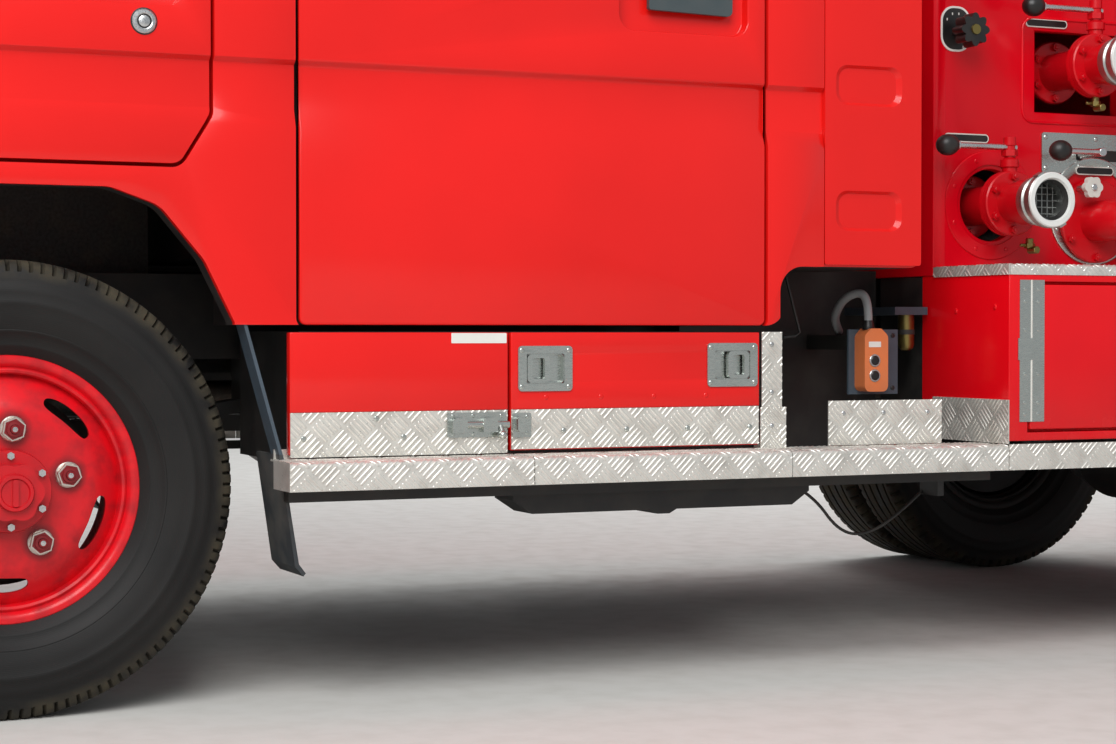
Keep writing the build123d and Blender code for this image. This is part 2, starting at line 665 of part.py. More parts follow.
def wheel_disc(seat_x, rim_x, bore_r, axle_y):
    """Dished disc from the nut circle at seat_x out to the barrel at rim_x, with vent slots."""
    step = 8 if rim_x > seat_x else -8
    disc = disc_x([
        (bore_r, seat_x, 0),
        (NUT_CIRCLE_R + 32, seat_x, 0),
        (RIM_INNER_R + 2, rim_x, 0),
        (RIM_INNER_R + 2, rim_x + step * 1.3, 0),
        (NUT_CIRCLE_R + 27, seat_x + step, 0),
        (bore_r, seat_x + step, 0),
    ], axle_y, HUB_Z)
    for index in range(NUT_COUNT):
        angle = math.radians(49.4 - index * 360 / NUT_COUNT)
        y = axle_y + VENT_CIRCLE_R * math.cos(angle)
        z = HUB_Z + VENT_CIRCLE_R * math.sin(angle)
        slot = extrude(Plane.YZ * outline(VENT_SLOT), amount=60, both=True)
        disc -= Pos((seat_x + rim_x) / 2, y, z) * (Rot(math.degrees(angle) + 90, 0, 0) * slot)
    return disc


FRONT_SEAT_X = TRACK / 2 + 85
HUB_FLANGE_R = 68
LOCK_HUB_R = 48
DIAL_R = 29


def front_rim():
    """Front rim with brake drum, hub, wheel nuts and free-wheel hub, on the left side."""
    centre = TRACK / 2
    wheel = rim_barrel(centre, FRONT_AXLE_Y)
    wheel += wheel_disc(FRONT_SEAT_X, centre + 45, HUB_FLANGE_R - 6, FRONT_AXLE_Y)
    hub = disc_x([
        (SPINDLE_R + RUN_GAP, centre - 62, 0),
        (165, centre - 62, 0),
        (165, centre - 4, 0),
        (74, centre + 8, 0),
        (70, FRONT_SEAT_X - 8, 0),
        (NUT_CIRCLE_R + 20, FRONT_SEAT_X - 8, 0),
        (NUT_CIRCLE_R + 20, FRONT_SEAT_X, 0),
        (HUB_FLANGE_R, FRONT_SEAT_X, 0),
        (HUB_FLANGE_R, FRONT_SEAT_X + 24, 0),
        (LOCK_HUB_R, FRONT_SEAT_X + 24, 0),
        (LOCK_HUB_R, FRONT_SEAT_X + 60, 0),
        (DIAL_R, FRONT_SEAT_X + 60, 0),
        (DIAL_R, FRONT_SEAT_X + 72, 0),
        (0, FRONT_SEAT_X + 72, 0),
        (0, SPINDLE_END_X + 4, 0),
        (SPINDLE_R + RUN_GAP, SPINDLE_END_X + 4, 0),
    ], FRONT_AXLE_Y, HUB_Z)
    wheel += hub
    for index in range(NUT_COUNT):
        angle = math.radians(85.4 - index * 360 / NUT_COUNT)
        y = FRONT_AXLE_Y + NUT_CIRCLE_R * math.cos(angle)
        z = HUB_Z + NUT_CIRCLE_R * math.sin(angle)
        nut = extrude(Plane.YZ * RegularPolygon(19, 6), amount=26)
        wheel += Pos(FRONT_SEAT_X - 2, y, z) * nut
    return wheel


front_wheel = front_rim()
front_tyre = tyre_ring(TRACK / 2, TYRE_WIDTH, FRONT_AXLE_Y)
keep("rim_front_left", front_wheel)
keep("rim_front_right", other_side(front_wheel))
keep("tyre_front_left", front_tyre)
keep("tyre_front_right", other_side(front_tyre))


def rear_rims():
    """Twin rims with their shared hub and brake drum, on the left side."""
    inner = DUAL_CENTRE_X - DUAL_SPACING / 2
    outer = DUAL_CENTRE_X + DUAL_SPACING / 2
    wheels = rim_barrel(inner, REAR_AXLE_Y) + rim_barrel(outer, REAR_AXLE_Y)
    wheels += wheel_disc(DUAL_CENTRE_X, outer - 45, 88, REAR_AXLE_Y)
    wheels += wheel_disc(DUAL_CENTRE_X, inner + 45, 88, REAR_AXLE_Y)
    wheels += disc_x([
        (AXLE_TUBE_R + RUN_GAP, DUAL_CENTRE_X - 150, 0),
        (165, DUAL_CENTRE_X - 150, 0),
        (165, DUAL_CENTRE_X - 60, 0),
        (92, DUAL_CENTRE_X - 50, 0),
        (92, DUAL_CENTRE_X + 20, 0),
        (86, DUAL_CENTRE_X + 70, 0),
        (60, DUAL_CENTRE_X + 84, 0),
        (0, DUAL_CENTRE_X + 84, 0),
        (0, REAR_SPINDLE_END + 4, 0),
        (AXLE_TUBE_R + RUN_GAP, REAR_SPINDLE_END + 4, 0),
    ], REAR_AXLE_Y, HUB_Z)
    for index in range(NUT_COUNT):
        angle = math.radians(85.4 - index * 360 / NUT_COUNT)
        y = REAR_AXLE_Y + NUT_CIRCLE_R * math.cos(angle)
        z = HUB_Z + NUT_CIRCLE_R * math.sin(angle)
        nut = extrude(Plane.YZ * RegularPolygon(19, 6), amount=30)
        wheels += Pos(DUAL_CENTRE_X + 6, y, z) * nut
    return wheels


rear_wheels = rear_rims()
rear_tyres = [
    tyre_ring(DUAL_CENTRE_X - DUAL_SPACING / 2, DUAL_TYRE_WIDTH, REAR_AXLE_Y),
    tyre_ring(DUAL_CENTRE_X + DUAL_SPACING / 2, DUAL_TYRE_WIDTH, REAR_AXLE_Y),
]
keep("rims_rear_left", rear_wheels)
keep("rims_rear_right", other_side(rear_wheels))
keep("tyres_rear_left", *rear_tyres)
keep("tyres_rear_right", *[other_side(tyre) for tyre in rear_tyres])

# Engine, driveline, silencer and tank
ENGINE_TOP_Z = FLOOR_FRONT_Z - FLOOR_SLAB - 25
ENGINE_LOW_Z = HUB_Z + 190
ENGINE_HALF = 270
ENGINE_MOUNT_Z = RAIL_BOTTOM_Z + 60
engine = block(-ENGINE_HALF, ENGINE_HALF, fy(-560), fy(360), ENGINE_LOW_Z, ENGINE_TOP_Z)
engine_mount = block(ENGINE_HALF, WEB_X, fy(-80), fy(40), ENGINE_MOUNT_Z, ENGINE_MOUNT_Z + 50)
keep("engine_block", engine, *pair(engine_mount))

GEARBOX_Z = HUB_Z + 270
SHAFT_Z = HUB_Z + 120
GEARBOX_REAR = fy(820)
TRANSFER_FRONT = fy(980)
TRANSFER_REAR = fy(1260)
gearbox = block(-160, 160, fy(360), GEARBOX_REAR, HUB_Z + 180, RAIL_TOP_Z - 20)
gearbox_tail = rod_y(0, GEARBOX_REAR, TRANSFER_FRONT, GEARBOX_Z, 90)
transfer_case = block(-210, 140, TRANSFER_FRONT, TRANSFER_REAR, HUB_Z + 90, RAIL_TOP_Z - 30)
front_shaft = rod_y(-90, FRONT_AXLE_Y + 230, TRANSFER_FRONT, SHAFT_Z, 34)
rear_shaft = rod_y(0, TRANSFER_REAR, REAR_AXLE_Y - 260, SHAFT_Z, 40)
keep("driveline", gearbox, gearbox_tail, transfer_case, front_shaft, rear_shaft)

EXHAUST_X = 238
EXHAUST_Z = HUB_Z + 140
SILENCER_R = 78
TAILPIPE_R = 26
SILENCER_FRONT = fy(700)
SILENCER_REAR = fy(1240)
front_pipe = rod_y(EXHAUST_X, fy(300), SILENCER_FRONT, EXHAUST_Z, TAILPIPE_R)
silencer = rod_y(EXHAUST_X, SILENCER_FRONT, SILENCER_REAR, EXHAUST_Z, SILENCER_R)
tail_pipe = rod_y(EXHAUST_X, SILENCER_REAR, ry(REAR_BODY_END - 60), EXHAUST_Z, TAILPIPE_R)
down_pipe = rod_z(EXHAUST_X, fy(326), EXHAUST_Z, ENGINE_LOW_Z, TAILPIPE_R - 2) - front_pipe
keep("exhaust", front_pipe, silencer, tail_pipe, down_pipe)

# Under-cab lockers, left side built and mirrored
LOCKER_OUTER_X = CAB_SIDE_X
LOCKER_FACE_X = LOCKER_OUTER_X - LOCKER_DOOR_THICKNESS
LOCKER_BASE_Z = STEP_TOP_Z - 10
LOCKER_FLOOR_Z = STEP_TOP_Z + 22
CARCASS_FRONT_Y = fy(LOCKER_FRONT) + 50
carcass = block(LOCKER_INNER_X, LOCKER_FACE_X - SEAT_GAP, CARCASS_FRONT_Y, fy(LOCKER_REAR),
                LOCKER_BASE_Z, LOCKER_TOP_Z)
for low_y, high_y in (
    (CARCASS_FRONT_Y + LOCKER_WALL, fy(LOCKER_SPLIT) - LOCKER_WALL),
    (fy(LOCKER_SPLIT) + LOCKER_WALL, fy(LOCKER_REAR) - LOCKER_WALL),
):
    carcass -= block(LOCKER_INNER_X + LOCKER_WALL, LOCKER_FACE_X + 10, low_y, high_y,
                     LOCKER_FLOOR_Z, LOCKER_TOP_Z - LOCKER_WALL)
# Bearers that tie the carcass to the rail
for y in (fy(LOCKER_FRONT + 170), fy(LOCKER_REAR - 100)):
    carcass += block(RAIL_OUTER_X, LOCKER_INNER_X + 4, y - 30, y + 30, LOCKER_TOP_Z - 70, LOCKER_TOP_Z - 10)
keep("locker_carcasses", *pair(carcass))

LOCKER_GAP = 6
FACING_DEPTH = 3
locker_low = STEP_TOP_Z + LOCKER_GAP
locker_high = LOCKER_TOP_Z - 2
for name, low_y, high_y in (
    ("front", fy(LOCKER_FRONT), fy(LOCKER_SPLIT) - LOCKER_GAP / 2),
    ("rear", fy(LOCKER_SPLIT) + LOCKER_GAP / 2, fy(LOCKER_REAR)),
):
    door = block(LOCKER_FACE_X, LOCKER_OUTER_X, low_y, high_y, locker_low, locker_high)
    door -= block(LOCKER_OUTER_X - FACING_DEPTH, LOCKER_OUTER_X + 5, low_y - 5, high_y + 5, locker_low - 5,
                  KICK_TOP_Z)
    keep(f"locker_{name}_left", door)
    keep(f"locker_{name}_right", other_side(door))

# Treadplate kick plates, side steps and rear step
STEP_FRONT = LOCKER_FRONT
FLANGE_X = CAB_SIDE_X - PLATE_THICKNESS
STEP_LOW_Z = STEP_TOP_Z - STEP_LIP
step = block(CAB_SIDE_X, BODY_SIDE_X, fy(STEP_FRONT), fy(STEP_REAR), STEP_TOP_Z - PLATE_THICKNESS, STEP_TOP_Z)
step += block(BODY_SIDE_X - PLATE_THICKNESS, BODY_SIDE_X, fy(STEP_FRONT), ry(-BOX_REAR_CLEAR),
              STEP_LOW_Z, STEP_TOP_Z)
step += block(FLANGE_X, CAB_SIDE_X, fy(STEP_FRONT), fy(LOCKER_REAR + 39), STEP_LOW_Z, STEP_TOP_Z)
step_solids = pair(step)
trim = block(FLANGE_X, CAB_SIDE_X, fy(LOCKER_REAR + 6), fy(LOCKER_REAR + 39), STEP_TOP_Z, LOCKER_TOP_Z)
step_solids.extend(pair(trim))
for y in (fy(STEP_FRONT + 130), fy(LOCKER_SPLIT + 60), fy(LOCKER_REAR - 40)):
    step_solids.extend(pair(block(LOCKER_INNER_X, FLANGE_X, y - 20, y + 20, STEP_LOW_Z, LOCKER_BASE_Z)))
REAR_STEP_LOW_Z = HUB_Z + 90
REAR_STEP_HIGH_Z = HUB_Z + 150
step_solids.append(block(-BODY_SIDE_X + 20, BODY_SIDE_X - 20, ry(REAR_BODY_END), ry(REAR_OVERHANG),
                         REAR_STEP_LOW_Z, REAR_STEP_HIGH_Z))
step_arm = block(RAIL_OUTER_X - RAIL_FLANGE, RAIL_OUTER_X, ry(RAIL_REAR_END) - 200, ry(REAR_BODY_END),
                 REAR_STEP_HIGH_Z - 30, RAIL_BOTTOM_Z)
step_solids.extend(pair(step_arm))

# Pump bay: front wall, side walls with the square ports, roof
bay_front_y = fy(BAY_FRONT)
bay_rear_y = bay_front_y + BAY_LENGTH
BAY_INSIDE_X = BAY_SIDE_X - BAY_WALL
bay_front = block(-BAY_SIDE_X, BAY_SIDE_X, bay_front_y, bay_front_y + BAY_WALL, BOX_LID_Z, BAY_TOP_Z)
bay_side = block(BAY_INSIDE_X, BAY_SIDE_X, bay_front_y + BAY_WALL, bay_rear_y, BOX_LID_Z, BAY_TOP_Z)
bay_roof = block(-BAY_INSIDE_X, BAY_INSIDE_X, bay_front_y + BAY_WALL, bay_rear_y, BAY_TOP_Z - BAY_WALL,
                 BAY_TOP_Z)
PORT_Y = by(356)
PORT_HALF = 106
PORT_LOW_Z = HUB_Z + 718
PORT_HIGH_Z = PORT_LOW_Z + 169
bay_side -= block(BAY_SIDE_X - 60, BAY_SIDE_X + 10, PORT_Y - PORT_HALF, PORT_Y + PORT_HALF,
                  PORT_LOW_Z, PORT_HIGH_Z)

# Rear body panels round one hollow, with shutter openings, over the twin wheels
rear_front_y = bay_rear_y
rear_end_y = ry(REAR_BODY_END)
PANEL_X = BODY_SIDE_X - 10
PANEL_INSIDE_X = PANEL_X - BODY_WALL
PANEL_TOP_Z = BODY_TOP_Z - BODY_WALL
ARCH_REAR_Y = ry(BOX_REAR_CLEAR)
SHUTTER_LOW_Z = ARCH_TOP_Z + 90
SHUTTER_HIGH_Z = BODY_TOP_Z - 110
SHUTTER_DEPTH = 14
SHUTTER_REAR_HALF = BODY_SIDE_X - 240
TUNNEL_HALF = 400
body_side = along_x(outline([
    (rear_front_y + BODY_WALL, ARCH_TOP_Z, 0),
    (ARCH_REAR_Y, ARCH_TOP_Z, 0),
    (ARCH_REAR_Y, BODY_SKIRT_Z, 0),
    (rear_end_y, BODY_SKIRT_Z, 0),
    (rear_end_y, PANEL_TOP_Z, 0),
    (rear_front_y + BODY_WALL, PANEL_TOP_Z, 0),
]), PANEL_INSIDE_X, PANEL_X)
shutters = []
for low, high in (
    (rear_front_y + 80, ry(440)),
    (ry(520), rear_end_y - 80),
):
    body_side -= block(PANEL_INSIDE_X - 5, PANEL_X + 5, low, high, SHUTTER_LOW_Z, SHUTTER_HIGH_Z)
    curtain = block(PANEL_INSIDE_X, PANEL_INSIDE_X + SHUTTER_DEPTH, low, high, SHUTTER_LOW_Z, SHUTTER_HIGH_Z)
    shutters.extend(pair(curtain))
body_back = block(-PANEL_INSIDE_X, PANEL_INSIDE_X, rear_end_y - BODY_WALL, rear_end_y, BODY_SKIRT_Z, PANEL_TOP_Z)
body_back -= block(-SHUTTER_REAR_HALF, SHUTTER_REAR_HALF, rear_end_y - BODY_WALL - 5, rear_end_y + 5,
                   SHUTTER_LOW_Z, SHUTTER_HIGH_Z)
body_back -= block(-TUNNEL_HALF, TUNNEL_HALF, rear_end_y - BODY_WALL - 5, rear_end_y + 5, BODY_SKIRT_Z - 5,
                   RAIL_TOP_Z + 50)
shutters.append(block(-SHUTTER_REAR_HALF, SHUTTER_REAR_HALF, rear_end_y - BODY_WALL,
                      rear_end_y - BODY_WALL + SHUTTER_DEPTH, SHUTTER_LOW_Z, SHUTTER_HIGH_Z))
body_front = block(-PANEL_X, PANEL_X, rear_front_y, rear_front_y + BODY_WALL, ARCH_TOP_Z, PANEL_TOP_Z)
body_roof = block(-PANEL_X, PANEL_X, rear_front_y, rear_end_y, PANEL_TOP_Z, BODY_TOP_Z)
body_floor = block(-PANEL_INSIDE_X, PANEL_INSIDE_X, rear_front_y + BODY_WALL, rear_end_y - BODY_WALL,
                   ARCH_TOP_Z, ARCH_TOP_Z + BODY_WALL)
keep("body_walls", *pair(body_side), body_back)
keep("roll_shutters", *shutters)

# Arch panels ahead of the twin wheels, under the body front and behind the wheels
BOX_REAR_Y = ry(-BOX_REAR_CLEAR) - 30
arch_front = block(TUNNEL_HALF, PANEL_X, BOX_REAR_Y, BOX_REAR_Y + 30, BOX_BOTTOM_Z, BOX_LID_Z)
arch_deck = block(BAY_SIDE_X, PANEL_X, rear_front_y, rear_front_y + BODY_WALL, BOX_LID_Z, ARCH_TOP_Z)
arch_rear = block(TUNNEL_HALF, PANEL_INSIDE_X, ARCH_REAR_Y, ARCH_REAR_Y + 30, BODY_SKIRT_Z, ARCH_TOP_Z)
keep("body_panels", body_front, body_roof, body_floor, *pair(arch_front), *pair(arch_deck), *pair(arch_rear))

# Side boxes below the pump panel, open outwards
BOX_FRONT_Y = fy(STEP_REAR)
BOX_INNER_X = BAY_SIDE_X - 200
BOX_DOOR_FRONT = BOX_FRONT_Y + 50
BOX_DOOR_REAR = BOX_REAR_Y - 30
BOX_FACE_X = BODY_SIDE_X - LOCKER_DOOR_THICKNESS
BOX_DOOR_LOW_Z = BOX_BOTTOM_Z + 22
BOX_DOOR_HIGH_Z = BOX_LID_Z - 22
side_box = block(BOX_INNER_X, BODY_SIDE_X, BOX_FRONT_Y, BOX_REAR_Y, BOX_BOTTOM_Z, BOX_LID_Z)
side_box -= block(BOX_INNER_X + BOX_WALL, BOX_FACE_X - 12, BOX_FRONT_Y + BOX_WALL, BOX_REAR_Y - BOX_WALL,
                  BOX_BOTTOM_Z + BOX_WALL, BOX_LID_Z - BOX_WALL)
side_box -= block(BOX_FACE_X - SEAT_GAP, BODY_SIDE_X + 5, BOX_DOOR_FRONT - LOCKER_GAP, BOX_DOOR_REAR + LOCKER_GAP,
                  BOX_DOOR_LOW_Z - LOCKER_GAP, BOX_DOOR_HIGH_Z + LOCKER_GAP)
side_box -= block(BOX_FACE_X - 60, BODY_SIDE_X + 5, BOX_DOOR_FRONT + 16, BOX_DOOR_REAR - 16,
                  BOX_DOOR_LOW_Z + 12, BOX_DOOR_HIGH_Z - 12)
keep("side_boxes", *pair(side_box))

# Bearers on the rails, with cross bearers under the pump and under the body floor: part of the frame
BEARER_TOP_Z = RAIL_TOP_Z + 40
BEARER_INNER_X = RAIL_OUTER_X - RAIL_FLANGE
PUMP_INSET = 120
bearer = block(BEARER_INNER_X, RAIL_OUTER_X, bay_front_y + BAY_WALL, rear_end_y - BODY_WALL, RAIL_TOP_Z,
               BEARER_TOP_Z)
frame_solids.extend(pair(bearer))
for y in (bay_front_y + PUMP_INSET + 40, bay_rear_y - PUMP_INSET - 80):
    frame_solids.append(block(-BEARER_INNER_X, BEARER_INNER_X, y - 25, y + 25, RAIL_TOP_Z, BEARER_TOP_Z))
    frame_solids.extend(pair(block(RAIL_OUTER_X, BOX_INNER_X, y - 25, y + 25, RAIL_TOP_Z - 80, BEARER_TOP_Z)))
for y in (rear_front_y + 140, ry(560), rear_end_y - 140):
    frame_solids.append(block(-PANEL_INSIDE_X, PANEL_INSIDE_X, y - 25, y + 25, BEARER_TOP_Z, ARCH_TOP_Z))
keep("frame", *frame_solids)

box_door = block(BOX_FACE_X, BODY_SIDE_X, BOX_DOOR_FRONT, BOX_DOOR_REAR, BOX_DOOR_LOW_Z, BOX_DOOR_HIGH_Z)
keep("box_door_left", box_door)
keep("box_door_right", other_side(box_door))

lid = block(BAY_SIDE_X, BODY_SIDE_X, BOX_FRONT_Y, rear_front_y, BOX_LID_Z, BOX_LID_Z + LID_THICKNESS)
keep("treadplate_steps", *step_solids, *pair(lid))

# Pump body on the frame, closed in by the bay
PUMP_TOP_Z = RAIL_TOP_Z + 400
PUMP_HALF = 240
RISER_X = 180
pump = block(-PUMP_HALF, PUMP_HALF, bay_front_y + PUMP_INSET, bay_rear_y - PUMP_INSET, BEARER_TOP_Z, PUMP_TOP_Z)

# Discharge outlets and suction inlets, left side built and mirrored
OUTLET_LOW_Y = by(140)
OUTLET_LOW_Z = HUB_Z + 522
LOW_PORT_R = 74
OUTLET_HIGH_Y = by(354)
OUTLET_HIGH_Z = HUB_Z + 812
OUTLET_R = 40
PIPE_WALL = 8
PIPE_START_X = BAY_SIDE_X - 120
FLANGE_R = 66
FLANGE_WIDTH = 28
PIPE_FLANGE_X = BAY_SIDE_X + 52
COUPLING_LENGTH = 60
COUPLING_R = 54
PORT_FLANGE_X = BAY_INSIDE_X - 60
pipes = []
couplings = []


def ring_x(inner_r, outer_r, low, high, y, z):
    """Ring about an axis along X."""
    return disc_x([(inner_r, low, 0), (outer_r, low, 0), (outer_r, high, 0), (inner_r, high, 0)], y, z)


for y, z, reach in (
    (OUTLET_LOW_Y, OUTLET_LOW_Z, BAY_SIDE_X + 150),
    (OUTLET_HIGH_Y, OUTLET_HIGH_Z, BAY_SIDE_X + 130),
):
    pipe = ring_x(OUTLET_R - PIPE_WALL, OUTLET_R, PIPE_START_X, reach, y, z)
    pipe += ring_x(OUTLET_R - 2, FLANGE_R, PORT_FLANGE_X, PORT_FLANGE_X + FLANGE_WIDTH / 2, y, z)
    pipe += ring_x(OUTLET_R - 2, FLANGE_R, PIPE_FLANGE_X, PIPE_FLANGE_X + FLANGE_WIDTH, y, z)
    coupling = disc_x([
        (OUTLET_R - 4, reach, 0),
        (COUPLING_R - 8, reach, 0),
        (COUPLING_R, reach + COUPLING_LENGTH * 0.55, 0),
        (COUPLING_R + 2, reach + COUPLING_LENGTH, 0),
        (OUTLET_R - 4, reach + COUPLING_LENGTH, 0),
    ], y, z)
    pipes.extend(pair(pipe))
    couplings.extend(pair(coupling))

# Suction inlet: flange on the panel and an elbow that turns half to the rear, clear of the body
SUCTION_Y = by(399)
SUCTION_Z = HUB_Z + 494
SUCTION_R = 42
SUCTION_FLANGE_R = 88
SUCTION_TURN = 45
ELBOW_R = 110
ELBOW_RUN = 90
ELBOW_X = BAY_SIDE_X + 68
ELBOW_END_X = ELBOW_X + ELBOW_RUN * math.cos(math.radians(SUCTION_TURN))
ELBOW_END_Y = SUCTION_Y + ELBOW_RUN * math.sin(math.radians(SUCTION_TURN))
elbow_path = FilletPolyline(
    (PIPE_START_X, SUCTION_Y, SUCTION_Z),
    (ELBOW_X, SUCTION_Y, SUCTION_Z),
    (ELBOW_END_X, ELBOW_END_Y, SUCTION_Z),
    radius=ELBOW_R,
)
elbow_ring = Circle(SUCTION_R) - Circle(SUCTION_R - PIPE_WALL)
elbow = sweep(Plane(origin=(PIPE_START_X, SUCTION_Y, SUCTION_Z), z_dir=(1, 0, 0)) * elbow_ring, path=elbow_path)
elbow += ring_x(SUCTION_R - 2, SUCTION_FLANGE_R, BAY_SIDE_X, BAY_SIDE_X + 14, SUCTION_Y, SUCTION_Z)
swivel_profile = Plane.XY * outline([
    (SUCTION_R - 4, 0, 0),
    (SUCTION_R + 10, 0, 0),
    (SUCTION_R + 16, COUPLING_LENGTH / 2, 0),
    (SUCTION_R + 12, COUPLING_LENGTH, 0),
    (SUCTION_R - 4, COUPLING_LENGTH, 0),
])
swivel = Rot(0, 0, SUCTION_TURN - 90) * revolve(swivel_profile, Axis.Y, 360)
swivel = Pos(ELBOW_END_X, ELBOW_END_Y, SUCTION_Z) * swivel
bay_side -= rod_x(BAY_INSIDE_X - 5, BAY_SIDE_X, SUCTION_Y, SUCTION_Z, SUCTION_R)
bay_side -= rod_x(BAY_INSIDE_X - 5, BAY_SIDE_X + 5, OUTLET_LOW_Y, OUTLET_LOW_Z, LOW_PORT_R)
pipes.extend(pair(elbow))
couplings.extend(pair(swivel))
keep("pump_bay", bay_front, *pair(bay_side), bay_roof)
keep("outlet_pipes", *pipes)
keep("couplings", *couplings)

# Pump with its runs to the outlets and suction inlets, and risers to the upper outlets
riser_run = rod_x(RISER_X - OUTLET_R, PIPE_START_X, OUTLET_HIGH_Y, OUTLET_HIGH_Z, OUTLET_R)
riser = rod_z(RISER_X, OUTLET_HIGH_Y, PUMP_TOP_Z, OUTLET_HIGH_Z, OUTLET_R) - riser_run
low_run = rod_x(PUMP_HALF, PIPE_START_X, OUTLET_LOW_Y, OUTLET_LOW_Z, OUTLET_R)
suction_run = rod_x(PUMP_HALF, PIPE_START_X, SUCTION_Y, SUCTION_Z, SUCTION_R)
keep("pump_body", pump, *pair(riser_run), *pair(riser), *pair(low_run), *pair(suction_run))

# Dial plate, label plates and the slotted stainless plate on the pump panel: (station, height, width, height)
PANEL_PLATE = 4
PLATE_FACE_X = BAY_SIDE_X + PANEL_PLATE
STEEL_RING_R = 104
plates = []
for y, z, width, height in (
    (by(52), HUB_Z + 878, 72, 92),
    (by(80), HUB_Z + 658, 108, 18),
    (by(278), HUB_Z + 903, 105, 18),
):
    plate = block(BAY_SIDE_X, PLATE_FACE_X, y - width / 2, y + width / 2, z - height / 2, z + height / 2)
    plates.extend(pair(plate))
steel_plate = block(BAY_SIDE_X, PLATE_FACE_X, by(266), by(544), HUB_Z + 593, HUB_Z + 677)
steel_plate += rod_x(BAY_SIDE_X, PLATE_FACE_X, SUCTION_Y, SUCTION_Z, STEEL_RING_R)
steel_plate -= rod_x(BAY_SIDE_X - 1, PLATE_FACE_X + 1, SUCTION_Y, SUCTION_Z, SUCTION_FLANGE_R + 1)
# The ring is cut off flat where it stands on the box lid
steel_plate -= block(BAY_SIDE_X - 1, PLATE_FACE_X + 1, SUCTION_Y - STEEL_RING_R, SUCTION_Y + STEEL_RING_R,
                     BOX_LID_Z, BOX_LID_Z + LID_THICKNESS)
plates.extend(pair(steel_plate))
keep("panel_plates", *plates)

# Dial knob and drain handwheel: (station, height, radius, start, reach, rim thickness)
controls = []
for y, z, radius, start_x, reach_x, rim in (
    (by(54), HUB_Z + 870, 32, PLATE_FACE_X, BAY_SIDE_X + 70, 34),
    (by(353), HUB_Z + 561, 23, BAY_SIDE_X + 14, BAY_SIDE_X + 65, 12),
):
    knob = rod_x(start_x, reach_x - rim, y, z, 9)
    knob += rod_x(reach_x - rim, reach_x, y, z, radius)
    controls.extend(pair(knob))
# Ball levers: valve neck on the flange, stem and ball
NECK_R = 13
NECK_RISE = 70
NECK_X = PIPE_FLANGE_X + FLANGE_WIDTH / 2
LEVER_R = 6
BALL_R = 21


def lever_ball(x, y, z):
    """Plump knob at the end of a lever that runs along Y."""
    face = outline([
        (0, -BALL_R, 0),
        (BALL_R, -BALL_R, BALL_R * 0.7),
        (BALL_R, BALL_R, BALL_R * 0.7),
        (0, BALL_R, 0),
    ])
    return Pos(x, y, z) * revolve(Plane.XY * face, Axis.Y, 360)


for neck_y, flange_z, ball_y in (
    (OUTLET_LOW_Y, OUTLET_LOW_Z, OUTLET_LOW_Y - 146),
    (OUTLET_HIGH_Y, OUTLET_HIGH_Z, OUTLET_HIGH_Y - 152),
):
    foot_z = flange_z + FLANGE_R
    stem_z = foot_z + NECK_RISE - 22
    neck = rod_z(NECK_X, neck_y, foot_z - 8, foot_z + NECK_RISE, NECK_R)
    neck -= rod_x(PIPE_FLANGE_X - 5, PIPE_FLANGE_X + FLANGE_WIDTH + 5, neck_y, flange_z, FLANGE_R)
    neck += rod_y(NECK_X, ball_y, neck_y, stem_z, LEVER_R)
    neck += lever_ball(NECK_X, ball_y, stem_z)
    controls.extend(pair(neck))
# Slot lever of the stainless plate
SLOT_BALL_Y = by(264)
SLOT_STEM_Y = SLOT_BALL_Y + 100
SLOT_Z = HUB_Z + 633
SLOT_LEVER_X = BAY_SIDE_X + 75
slot_lever = rod_x(PLATE_FACE_X, SLOT_LEVER_X + LEVER_R + 4, SLOT_STEM_Y, SLOT_Z, LEVER_R + 3)
slot_lever += rod_y(SLOT_LEVER_X, SLOT_BALL_Y, SLOT_STEM_Y, SLOT_Z, LEVER_R)
slot_lever += lever_ball(SLOT_LEVER_X, SLOT_BALL_Y, SLOT_Z)
controls.extend(pair(slot_lever))
keep("valve_controls", *controls)

# Cab inside: dashboard with wheel, seats and bench
DASH_Y = fy(-CAB_LENGTH_AHEAD + CAB_WALL + 16)
DASH_HALF = CAB_SIDE_X - 112
dash = block(-DASH_HALF, DASH_HALF, DASH_Y, DASH_Y + 300, FLOOR_FRONT_Z + 250, BELT_Z - 40)
dash += block(-DASH_HALF, DASH_HALF, DASH_Y, DASH_Y + 60, FLOOR_FRONT_Z, FLOOR_FRONT_Z + 260)
STEER_X = -420
steer_y = DASH_Y + 360
steer_z = BELT_Z - 40
column = Pos(STEER_X, DASH_Y + 290, steer_z - 49) * (Rot(-55, 0, 0) * Cylinder(22, 170))
wheel_rim = revolve(Plane.XZ * outline([
    (176, 0, 0),
    (183, -12, 0),
    (197, -12, 0),
    (204, 0, 0),
    (197, 12, 0),
    (183, 12, 0),
]), Axis.Z, 360)
ring = Pos(STEER_X, steer_y, steer_z) * (Rot(-55, 0, 0) * (wheel_rim + Box(368, 30, 12) + Cylinder(45, 20)))
keep("dashboard", dash + column + ring)

